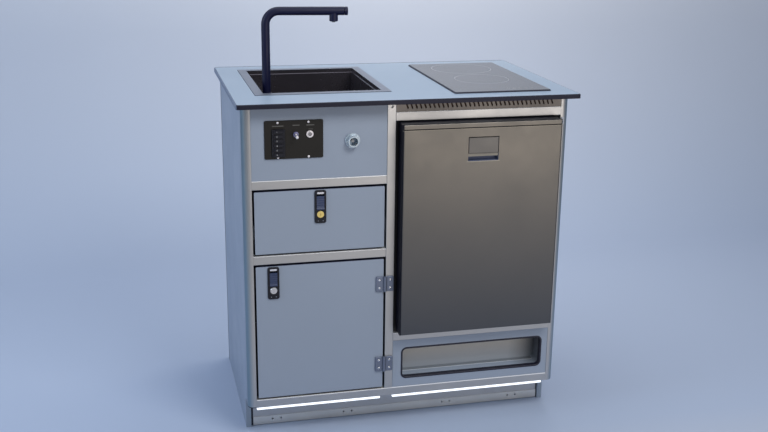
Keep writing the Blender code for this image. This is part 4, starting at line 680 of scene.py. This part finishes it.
# %% Hob finish
hob_low, hob_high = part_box("hob_glass")
hob_black = tint(36, 38, 46)
print_grey = tint(150, 154, 164)
hob = coated("Hob Glass", hob_black, 0.07, 0.14, grain=2500.0, depth=0.002, drift=0.10, IOR=1.66)
rear_zone = (hob_low.x + 0.1450, hob_low.y + 0.408)
front_zone = (hob_low.x + 0.1470, hob_low.y + 0.208)
for (zone_x, zone_y), radius in ((rear_zone, 0.095), (front_zone, 0.082)):
    ring = place_group(hob, ring_mask, Centre=(zone_x, zone_y, 0), Radius=radius, Width=2.0 * mm)["Mask"]
    overlay(hob, ring, print_grey)
    overlay(hob, ring, 0.40, "Roughness")
edge = sum_node(hob.node_tree, "SUBTRACT", 1.0,
                place_group(hob, side_mask, Towards=(0, 0, 1), Limit=0.9)["Mask"])
overlay(hob, edge, tint(12, 14, 40))
overlay(hob, edge, 0.45, "Roughness")
put_on(hob, "hob_glass")

# %% [markdown]
# ## Light strips
# The strips shine through an opal lens. Emission on the lens lights the plinth below it, as in the real pod, so
# no extra lamp is needed.

# %% Light strip finish
lens = coated("Lit Opal Lens", tint(240, 244, 250), 0.30, 0.40, grain=600.0, depth=0.01, drift=0.02,
              Emission_Strength=1.0)
glow = place_group(lens, fine_grain, Colour=(0.86, 0.93, 1.0, 1.0), Scale=90.0, Drift=0.02)["Colour"]
feed(lens.node_tree, shader_of(lens).inputs["Emission Color"], glow)
put_on(lens, "light_strip_left", "light_strip_right")
missing = sorted(set(solids) - finished)
print("solids without a finish:", missing)

# %% [markdown]
# ## Helpers for small pieces
# Three forms make nearly all the small pieces: a turned form from a profile, a flat form from an outline, and a
# ring of outlines joined one to the next. Each helper fills a bmesh, and one function turns it into an object
# that rides on a body.

# %% Piece helpers
soft_angle = math.radians(35)


def make_piece(name, mesh, material, body, place=(0, 0, 0), smooth=True):
    """Turns a bmesh or a ready mesh into an object that moves with a body."""
    if isinstance(mesh, bmesh.types.BMesh):
        filled = bpy.data.meshes.new(name)
        bmesh.ops.recalc_face_normals(mesh, faces=mesh.faces)
        mesh.to_mesh(filled)
        mesh.free()
        mesh = filled
    if not mesh.materials:
        mesh.materials.append(material)
    if smooth:
        mesh.shade_smooth()
        mesh.set_sharp_from_angle(angle=soft_angle)
    piece = bpy.data.objects.new(name, mesh)
    piece.location = place
    bpy.context.scene.collection.objects.link(piece)
    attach(piece, body)
    return piece


def join_loops(bm, loops, close=False):
    """Joins rings of points with faces; close joins the last ring to the first."""
    rings = [[bm.verts.new(point) for point in loop] for loop in loops]
    pairs = list(zip(rings, rings[1:])) + ([(rings[-1], rings[0])] if close else [])
    for first, second in pairs:
        for k in range(len(first)):
            following = (k + 1) % len(first)
            bm.faces.new((first[k], first[following], second[following], second[k]))
    return rings


def turned(profile, steps=32):
    """A solid turned about the Y axis. The profile is (radius, y) from front to back."""
    bm = bmesh.new()
    angles = [2 * math.pi * k / steps for k in range(steps)]
    loops = [[(radius * math.cos(a), y, radius * math.sin(a)) for a in angles] for radius, y in profile]
    rings = join_loops(bm, loops)
    bm.faces.new(rings[0])
    bm.faces.new(rings[-1])
    return bm


def rounded_loop(low, high, radius, steps=8):
    """Points of a rounded rectangle in the plane of the front, as (x, z)."""
    corners = ((high[0] - radius, high[1] - radius, 0), (low[0] + radius, high[1] - radius, 90),
               (low[0] + radius, low[1] + radius, 180), (high[0] - radius, low[1] + radius, 270))
    points = []
    for x, z, start in corners:
        for k in range(steps + 1):
            angle = math.radians(start + 90 * k / steps)
            points.append((x + radius * math.cos(angle), z + radius * math.sin(angle)))
    return points


def front_plate(low, high, radius, front, back, edge):
    """A rounded plate that faces the front, with a small bevel round its face."""
    bm = bmesh.new()
    inner = rounded_loop((low[0] + edge, low[1] + edge), (high[0] - edge, high[1] - edge), max(radius - edge, edge))
    outer = rounded_loop(low, high, radius)
    loops = [[(x, front, z) for x, z in inner], [(x, front + edge, z) for x, z in outer],
             [(x, back, z) for x, z in outer]]
    rings = join_loops(bm, loops)
    bm.faces.new(rings[0])
    bm.faces.new(rings[-1])
    return bm


print("helpers ready")

# %% [markdown]
# ## Screws
# Screw heads are small but they catch the light, and the eye misses them when they are gone. A domed head is
# turned, and a cross is cut into it. The Boolean modifier does the cut once, and every screw of that size shares
# the mesh.

# %% Screw mesh


def cut_with(bm, cutter):
    """Cuts one bmesh out of another with a Boolean modifier and returns the mesh."""
    made = []
    for name, source in (("blank", bm), ("cutter", cutter)):
        mesh = bpy.data.meshes.new(name)
        bmesh.ops.recalc_face_normals(source, faces=source.faces)
        source.to_mesh(mesh)
        source.free()
        made.append(bpy.data.objects.new(name, mesh))
        bpy.context.scene.collection.objects.link(made[-1])
    modifier = made[0].modifiers.new("cut", "BOOLEAN")
    modifier.object = made[1]
    modifier.solver = "EXACT"
    graph = bpy.context.evaluated_depsgraph_get()
    result = bpy.data.meshes.new_from_object(made[0].evaluated_get(graph))
    for helper in made:
        bpy.data.objects.remove(helper)
    return result


def cross_cutter(length, width, front, depth):
    """A cross-shaped bar that points into the head and narrows with depth."""
    half, thin = length / 2, width / 2
    outline = [(thin, half), (thin, thin), (half, thin), (half, -thin), (thin, -thin), (thin, -half),
               (-thin, -half), (-thin, -thin), (-half, -thin), (-half, thin), (-thin, thin), (-thin, half)]
    bm = bmesh.new()
    narrow = 0.6
    rings = join_loops(bm, [[(x, front, z) for x, z in outline],
                            [(x * narrow, depth, z * narrow) for x, z in outline]])
    bm.faces.new(rings[0])
    bm.faces.new(rings[-1])
    return bm


def screw_mesh(radius, height):
    """A domed head that faces the front and sits on the plane y = 0."""
    dome = [(radius * math.sin(math.radians(a)), -height * math.cos(math.radians(a))) for a in (12, 30, 48, 66, 82)]
    head = turned(dome + [(radius, -0.1 * height), (radius, 0.2 * mm)], 24)
    return cut_with(head, cross_cutter(1.15 * radius, 0.26 * radius, -1.5 * height, -0.25 * height))


plate_screw = screw_mesh(3.3 * mm, 1.6 * mm)
hinge_screw = screw_mesh(4.0 * mm, 1.8 * mm)
bracket_screw = screw_mesh(2.4 * mm, 1.2 * mm)
small_screw = screw_mesh(1.4 * mm, 0.7 * mm)
print("screw head has", len(plate_screw.polygons), "faces")

# %% [markdown]
# Four screws hold the control plate near its top and bottom edge, eight hold the hinges, and two tiny ones show
# at the foot of each latch. Their places are measured from the corner of the piece that they hold.

# %% Place the screws
plate_low, plate_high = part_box("control_plate")
plate_face = plate_low.y
for k, (across, up) in enumerate(((36.8, 4.2), (36.8, 101.6), (122.0, 4.2), (122.0, 101.6))):
    place = (plate_low.x + across * mm, plate_face, plate_low.z + up * mm)
    make_piece(f"plate_screw_{k + 1}", plate_screw, satin_chrome, "carcass", place)
for hinge in ("upper", "lower"):
    for leaf, body in (("post", "carcass"), ("door", "cupboard_door")):
        leaf_low, leaf_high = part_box(f"{hinge}_hinge_{leaf}_leaf")
        middle = (leaf_low + leaf_high) / 2
        for k, side in enumerate((-1, 1)):
            outward = 1 if leaf == "post" else -1
            outer_edge = leaf_high.x if outward > 0 else leaf_low.x
            place = (outer_edge - outward * 10.5 * mm, leaf_high.y - 5.0 * mm, middle.z + side * 12.5 * mm)
            make_piece(f"{hinge}_{leaf}_screw_{k + 1}", hinge_screw, chrome, body, place)
latch_bodies = {"drawer": "drawer", "cupboard": "cupboard_door"}
for latch, body in latch_bodies.items():
    latch_low, latch_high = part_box(f"{latch}_latch_body")
    for k, side in enumerate((-1, 1)):
        place = ((latch_low.x + latch_high.x) / 2 + side * 7 * mm, latch_low.y, latch_low.z + 7 * mm)
        make_piece(f"{latch}_latch_screw_{k + 1}", small_screw, zinc, body, place)
print("screws placed; control plate", [round(v / mm, 1) for v in plate_high - plate_low], "mm")

# %% [markdown]
# ## Latch tabs
# Each latch has a bright oval tab above its paddle. It is a thin plate with round ends and a soft edge, and it
# carries no name.

# %% Latch tabs
tab_width, tab_height, tab_drop, tab_proud = 20 * mm, 5.2 * mm, 5.2 * mm, 0.8 * mm
tab_silver = coated("Tab Silver", tint(228, 230, 240), 0.20, 0.30, grain=400.0, depth=0.005, drift=0.02,
                    Metallic=0.7)
for latch, body in latch_bodies.items():
    latch_low, latch_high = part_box(f"{latch}_latch_body")
    middle = (latch_low.x + latch_high.x) / 2
    top = latch_high.z - tab_drop
    oval = front_plate((middle - tab_width / 2, top - tab_height), (middle + tab_width / 2, top), tab_height / 2.01,
                       latch_low.y - tab_proud, latch_low.y + 0.2 * mm, 0.3 * mm)
    make_piece(f"{latch}_latch_tab", oval, tab_silver, body)
print("tabs are", tab_width / mm, "mm wide")

# %% [markdown]
# ## Marks on the control panel
# The plate has a few printed marks. Names stay off it: each fuse gets a plain number, and short bars stand over
# the fuses, the switch and the button. The numbers start as text and become mesh, so that they can share one
# object.

# %% Printed marks
print_pale = coated("Pale Print", tint(168, 170, 174), 0.45, 0.55, grain=1500.0, depth=0.01, drift=0.05)
print_faint = coated("Faint Print", tint(88, 88, 86), 0.45, 0.55, grain=1500.0, depth=0.01, drift=0.05)
mark_thickness = 0.08 * mm


def add_text(bm, words, height, x, y, z):
    """Adds flat lettering that faces the front to a bmesh."""
    curve = bpy.data.curves.new("marks", "FONT")
    curve.body = words
    curve.size = height
    curve.align_x = "CENTER"
    curve.align_y = "CENTER"
    curve.extrude = mark_thickness / 2
    helper = bpy.data.objects.new("marks", curve)
    bpy.context.scene.collection.objects.link(helper)
    mesh = bpy.data.meshes.new_from_object(helper.evaluated_get(bpy.context.evaluated_depsgraph_get()))
    mesh.transform(Matrix.Translation((x, y, z)) @ Matrix.Rotation(math.radians(90), 4, "X"))
    bm.from_mesh(mesh)
    bpy.data.objects.remove(helper)


def add_bar(bm, x0, x1, z0, z1, front):
    made = bmesh.ops.create_cube(bm, size=1)["verts"]
    size = Vector((x1 - x0, mark_thickness, z1 - z0))
    bmesh.ops.scale(bm, vec=size, verts=made)
    bmesh.ops.translate(bm, vec=((x0 + x1) / 2, front, (z0 + z1) / 2), verts=made)


fuse_low, fuse_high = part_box("fuse_block")
numbers = bmesh.new()
fuse_pitch, first_fuse, fuse_count = 12.7 * mm, 6.75 * mm, 6
for k in range(fuse_count):
    z = fuse_high.z - first_fuse - k * fuse_pitch
    add_text(numbers, str(k + 1), 6.5 * mm, fuse_low.x + 13 * mm, fuse_low.y, z)
make_piece("fuse_numbers", numbers, print_pale, "carcass", smooth=False)
bars = bmesh.new()
for left, right, drop, thick in ((22, 53, 15, 2.4), (78, 97, 14, 2.4), (116, 138, 14.5, 2.4), (122, 134, 26, 1.2)):
    add_bar(bars, plate_low.x + left * mm, plate_low.x + right * mm, plate_high.z - (drop + thick / 2) * mm,
            plate_high.z - (drop - thick / 2) * mm, plate_face)
make_piece("panel_bars", bars, print_faint, "carcass", smooth=False)
print("marks on", fuse_count, "fuses")

# %% [markdown]
# ## Trim round the niche
# A black rubber trim is pushed onto the cut edge of the niche. It could be a bent tube, but the real one is a
# U shape that holds the board, so rings of the same outline, each a little wider or deeper, are joined into it.

# %% Niche trim
cut_inset = 5 * mm
niche_low, niche_high = openings["niche"]
panel_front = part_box("niche_panel")[0].y
board_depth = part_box("niche_panel")[1].y - panel_front
hole_low = (niche_low[0] - cut_inset, niche_low[2] - cut_inset)
hole_high = (niche_high[0] + cut_inset, niche_high[2] + cut_inset)
hole_radius = 14 * mm


def wider_loop(grow, y):
    points = rounded_loop((hole_low[0] - grow, hole_low[1] - grow), (hole_high[0] + grow, hole_high[1] + grow),
                          hole_radius + grow)
    return [(x, y, z) for x, z in points]


trim = bmesh.new()
lip, sheet = 3.6 * mm, 1.6 * mm
trim_path = ((lip, 0), (lip, -0.6 * mm), (lip - 0.8 * mm, -1.3 * mm), (-0.6 * mm, -1.5 * mm), (-sheet, -0.7 * mm),
             (-sheet, board_depth - 0.5 * mm), (-0.05 * mm, board_depth - 0.5 * mm), (-0.05 * mm, 0))
join_loops(trim, [wider_loop(grow, panel_front + back) for grow, back in trim_path], close=True)
trim_rubber = coated("Niche Trim", tint(20, 21, 42), 0.45, 0.60, grain=600.0, depth=0.03, drift=0.10)
make_piece("niche_trim", trim, trim_rubber, "carcass")
print("niche cut-out", [round((b - a) / mm) for a, b in zip(hole_low, hole_high)], "mm")

# %% [markdown]
# ## Sealant
# Hob and sink lie in a thin bead of dark sealant. Each bead is a ring of outlines again, with a low round back,
# laid on the worktop round the edge of the piece.

# %% Sealant beads


def bead(name, box_low, box_high, radius, width, height):
    """A bead round a rounded rectangle that lies on the worktop."""
    bm = bmesh.new()
    loops = []
    for grow, rise in ((-0.2 * mm, 0), (-0.2 * mm, height), (0.45 * width, 0.8 * height), (width, 0)):
        points = rounded_loop((box_low.x - grow, box_low.y - grow), (box_high.x + grow, box_high.y + grow),
                              radius + grow)
        loops.append([(x, y, top_high.z + rise) for x, y in points])
    join_loops(bm, loops, close=True)
    make_piece(name, bm, sealant, "carcass")


sealant = coated("Dark Sealant", tint(18, 20, 44), 0.40, 0.55, grain=700.0, depth=0.03, drift=0.10)
bead("hob_sealant", hob_low, hob_high, 4 * mm, 2.4 * mm, 1.6 * mm)
bead("sink_sealant", sink_low, sink_high, 4 * mm, 1.0 * mm, 0.8 * mm)
print("beads laid on z =", round(top_high.z, 4))

# %% [markdown]
# ## Touch keys of the hob
# A row of small rings marks the touch keys. They are printed on the glass, so they are only a few
# hundredths of a millimetre thick, and generic.

# %% Touch keys
keys = bmesh.new()


def add_key_ring(bm, x, y, radius, width, z):
    steps = 20
    angles = [2 * math.pi * k / steps for k in range(steps)]
    loops = []
    for reach, rise in ((radius, 0), (radius, mark_thickness), (radius - width, mark_thickness), (radius - width, 0)):
        loops.append([(x + reach * math.cos(a), y + reach * math.sin(a), z + rise) for a in angles])
    join_loops(bm, loops, close=True)


for k in range(5):
    add_key_ring(keys, hob_low.x + (170 + 18 * k) * mm, hob_low.y + 34 * mm, 4.2 * mm, 0.6 * mm, hob_high.z)
make_piece("hob_keys", keys, print_pale, "carcass", smooth=False)
print("5 keys on the glass")

# %% [markdown]
# ## Fridge bracket
# A small grey bracket with two screws holds the fridge to the right post, next to the top of the door.

# %% Fridge bracket
post_low, post_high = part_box("front_post_right")
bracket_left = post_low.x + 1.5 * mm
bracket_top = door_high.z - 2 * mm
bracket = front_plate((bracket_left, bracket_top - 20 * mm), (bracket_left + 8 * mm, bracket_top), 2 * mm,
                      post_low.y - 2.2 * mm, post_low.y, 0.5 * mm)
make_piece("fridge_bracket", bracket, zinc, "carcass")
for k, drop in enumerate((5, 14.5)):
    make_piece(f"bracket_screw_{k + 1}", bracket_screw, zinc, "carcass",
               (bracket_left + 4 * mm, post_low.y - 2.2 * mm, bracket_top - drop * mm))
print("bracket stands", 2.2, "mm proud of the post")

# %% [markdown]
# ## Lens of the light strips
# Each strip has a clear bar pushed over it, which is a little higher than the strip and glows with it.

# %% Lens bars
for side in ("left", "right"):
    strip_low, strip_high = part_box(f"light_strip_{side}")
    bar = front_plate((strip_low.x - 0.3 * mm, strip_high.z - 6.6 * mm), (strip_high.x + 0.3 * mm, strip_high.z),
                      2 * mm, strip_low.y - 0.6 * mm, strip_high.y, 0.5 * mm)
    make_piece(f"light_lens_{side}", bar, lens, "carcass")
print("lens bars", 6.6, "mm high")

# %% [markdown]
# ## Tip of the toggle
# The lever of the toggle switch ends in a rounded tip, wider than the lever.

# %% Toggle tip
lever_low, lever_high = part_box("toggle_lever")
tip_profile = [(radius * mm, y * mm) for radius, y in ((1.6, -4.8), (3.2, -4.0), (4.2, -2.4), (4.4, -0.4), (4.2, 2.0),
                                                      (3.4, 5.0), (2.8, 7.0))]
tip = turned(tip_profile, 24)
bmesh.ops.rotate(tip, verts=tip.verts, cent=(0, 0, 0), matrix=Matrix.Rotation(math.radians(13), 3, "X"))
make_piece("toggle_tip", tip, satin_chrome, "toggle_lever",
           ((lever_low.x + lever_high.x) / 2, lever_low.y + 3.4 * mm, lever_low.z + 3.4 * mm))
print("toggle tip", 8.8, "mm wide")

# %% [markdown]
# ## Fleece behind the vent
# Behind the slots lies a brown filter fleece, so the slots are not a view into the dark.

# %% Vent fleece
vent_low, vent_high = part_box("vent_strip")
fleece_brown = coated("Filter Fleece", tint(84, 66, 56), 0.80, 0.95, grain=1600.0, depth=0.08, drift=0.12)
fleece = front_plate((vent_low.x + 6 * mm, vent_low.z + 1.5 * mm), (vent_high.x - 6 * mm, vent_high.z - 1.5 * mm),
                     2 * mm, vent_high.y + 0.1 * mm, vent_high.y + 0.9 * mm, 0.3 * mm)
make_piece("vent_fleece", fleece, fleece_brown, "carcass")
print("fleece", round((vent_high.x - vent_low.x) / mm), "mm long")

# %% [markdown]
# ## Fridge shelves
# Behind the door two wire shelves carry the food. A shelf is a row of thin rods on a thicker frame, and all rods
# of one shelf are one mesh.

# %% Fridge shelves


def add_rod(bm, start, end, radius, steps=10):
    """A straight rod between two points."""
    start, end = Vector(start), Vector(end)
    along = (end - start).normalized()
    side = along.orthogonal().normalized()
    other = along.cross(side)
    angles = [2 * math.pi * k / steps for k in range(steps)]
    loops = [[point + radius * (math.cos(a) * side + math.sin(a) * other) for a in angles] for point in (start, end)]
    rings = join_loops(bm, loops)
    bm.faces.new(rings[0])
    bm.faces.new(rings[-1])


space_low, space_high = (Vector(corner) for corner in openings["fridge_inside_upper"])
wire, rim = 1.4 * mm, 2.4 * mm
for name, share in (("fridge_shelf_lower", 0.08), ("fridge_shelf_upper", 0.54)):
    z = space_low.z + share * (space_high.z - space_low.z)
    shelf = bmesh.new()
    front, back = space_low.y + 25 * mm, space_high.y - 2 * mm
    left, right = space_low.x - 1 * mm, space_high.x + 1 * mm
    for y in (front, back, (front + back) / 2):
        add_rod(shelf, (left, y, z), (right, y, z), rim)
    count = 24
    for k in range(count):
        x = left + 6 * mm + (right - left - 12 * mm) * k / (count - 1)
        add_rod(shelf, (x, front, z + rim), (x, back, z + rim), wire)
    make_piece(name, shelf, liner_white, "carcass")
print("shelves", round((space_high.x - space_low.x) / mm), "mm wide")

# %% [markdown]
# ## Strainer and nozzle
# The waste of the sink has a strainer: a dished disc with a ring of holes. The nozzle of the tap holds a small
# disc with a ring of holes, seen from below.

# %% Strainer
waste_low, waste_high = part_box("sink_waste")
waste_middle = (waste_low + waste_high) / 2
strainer = turned([(3 * mm, -2.2 * mm), (13.2 * mm, -1.0 * mm), (15.2 * mm, 0), (15.2 * mm, 1.0 * mm),
                   (12.8 * mm, 0.2 * mm), (3 * mm, -1.0 * mm)], 40)
pins = bmesh.new()
for k in range(8):
    angle = 2 * math.pi * k / 8
    x, z = 8.6 * mm * math.cos(angle), 8.6 * mm * math.sin(angle)
    add_rod(pins, (x, -6 * mm, z), (x, 6 * mm, z), 1.9 * mm, 16)
strainer_mesh = cut_with(strainer, pins)
strainer_mesh.transform(Matrix.Rotation(math.radians(-90), 4, "X"))
make_piece("waste_strainer", strainer_mesh, chrome, "carcass",
           (waste_middle.x, waste_middle.y, waste_high.z - 1.6 * mm))
print("strainer in the waste at z", round(waste_high.z, 4))

# %% Nozzle disc
foot_low, foot_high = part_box("tap_base")
knob_low, knob_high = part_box("tap_knob")
arm_turn, nozzle_reach, nozzle_length = math.radians(-6), 200 * mm, 17 * mm
arm_height = (knob_low.z + knob_high.z) / 2
nozzle_end = 2 * arm_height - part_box("tap_spout")[1].z - nozzle_length
disc = turned([(5.2 * mm, -0.8 * mm), (10.4 * mm, -0.8 * mm), (11.0 * mm, -0.2 * mm), (11.0 * mm, 0.3 * mm),
               (5.2 * mm, 0.3 * mm)], 40)
drills = bmesh.new()
for k in range(12):
    angle = 2 * math.pi * k / 12
    x, z = 7.8 * mm * math.cos(angle), 7.8 * mm * math.sin(angle)
    add_rod(drills, (x, -3 * mm, z), (x, 3 * mm, z), 1.0 * mm, 12)
disc_mesh = cut_with(disc, drills)
disc_mesh.transform(Matrix.Rotation(math.radians(90), 4, "X"))
make_piece("nozzle_disc", disc_mesh, nickel, "tap_spout",
           ((foot_low.x + foot_high.x) / 2 + nozzle_reach * math.cos(arm_turn),
            (foot_low.y + foot_high.y) / 2 + nozzle_reach * math.sin(arm_turn), nozzle_end))
print("nozzle disc at z", round(nozzle_end, 4))

# %% [markdown]
# ## Studio
# The pod stands on a pale floor that curves up into a pale wall, so that no line crosses the picture. Seen from
# behind, the wall is clear, so that it never hides the pod. The wall is slightly blue, as a cool room is, and it is
# painted darker and bluer towards the floor as painted shade; the floor in front is paler. The main lamp stands high
# in front, a little to the right. A low warm lamp in front gives the rails a soft shine, a wide lamp above lights the
# worktop, a weak blue one on the left stands for a window, and a small one brightens the wall behind the tap. Their
# power is low enough for a colour to come out about as it was written.

# %% Floor and wall
wall_blue = tint(196, 204, 219)
backdrop = new_material("Pale Backdrop", Roughness=0.9)
room = backdrop.node_tree
feed(room, shader_of(backdrop).inputs["Base Color"],
     place_group(backdrop, fine_grain, Colour=wall_blue, Scale=40.0, Drift=0.01)["Colour"])
# The floor and the foot of the wall are painted darker and bluer, as painted shade.
overlay(backdrop, range_node(room, coordinate(room, "Z"), 0.0, 1.1, 1.0, 0.0), tint(168, 182, 207))
overlay(backdrop, range_node(room, coordinate(room, "Y"), -0.4, -1.4, 0.0, 1.0), tint(199, 197, 198))
see_through = room.nodes.new("ShaderNodeMixShader")
feed(room, see_through.inputs[0], room.nodes.new("ShaderNodeNewGeometry").outputs["Backfacing"])
feed(room, see_through.inputs[1], shader_of(backdrop).outputs[0])
feed(room, see_through.inputs[2], room.nodes.new("ShaderNodeBsdfTransparent").outputs[0])
feed(room, room.nodes["Material Output"].inputs["Surface"], see_through.outputs[0])
half_width, floor_front, bend_start, bend_radius, wall_height = 7.0, -7.0, 1.2, 0.9, 5.0
profile = [(floor_front, 0.0)]
for k in range(13):
    angle = math.radians(90 * k / 12)
    profile.append((bend_start + bend_radius * math.sin(angle), bend_radius * (1 - math.cos(angle))))
profile.append((bend_start + bend_radius, wall_height))
sweep = bmesh.new()
edges = [[sweep.verts.new((x, y, z)) for y, z in profile] for x in (-half_width, half_width)]
for k in range(len(profile) - 1):
    sweep.faces.new((edges[0][k], edges[0][k + 1], edges[1][k + 1], edges[1][k]))
floor_mesh = bpy.data.meshes.new("floor")
sweep.normal_update()
sweep.faces.ensure_lookup_table()
if sweep.faces[0].normal.z < 0:
    bmesh.ops.reverse_faces(sweep, faces=sweep.faces)
sweep.to_mesh(floor_mesh)
floor_mesh.shade_smooth()
floor_mesh.materials.append(backdrop)
floor = bpy.data.objects.new("floor", floor_mesh)
bpy.context.scene.collection.objects.link(floor)
print("floor is", 2 * half_width, "m wide")

# %% Lamps
target = Vector((0, 0, 0.6))


def lamp(name, place, width, height, power, colour, aim=target):
    """A soft rectangular lamp that looks at the middle of the pod, or at another point."""
    light = bpy.data.lights.new(name, "AREA")
    light.shape = "RECTANGLE"
    light.size, light.size_y = width, height
    light.energy = power
    light.color = colour
    holder = bpy.data.objects.new(name, light)
    holder.location = place
    holder.rotation_euler = (aim - Vector(place)).to_track_quat("-Z", "Y").to_euler()
    bpy.context.scene.collection.objects.link(holder)


lamp("main_lamp", (0.55, -1.8, 2.45), 1.1, 0.8, 30, (1.0, 0.97, 0.92))
lamp("low_lamp", (1.4, -3.7, 0.55), 1.8, 0.9, 19, (1.0, 0.90, 0.79))
lamp("top_lamp", (-0.2, 0.5, 3.0), 3.0, 2.0, 26, (0.94, 0.97, 1.0))
lamp("window_lamp", (-3.2, -0.6, 1.9), 1.6, 1.8, 31, (0.72, 0.85, 1.0))
lamp("wall_lamp", (0.6, 0.8, 2.2), 1.2, 0.9, 17, (1.0, 0.88, 0.72), aim=Vector((0.65, 2.1, 1.1)))
world = bpy.data.worlds.new("soft room")
world.use_nodes = True
sky = world.node_tree.nodes["Background"]
sky.inputs["Color"].default_value = (0.86, 0.92, 1.0, 1.0)
sky.inputs["Strength"].default_value = 0.38
bpy.context.scene.world = world
print("five lamps and a soft room")
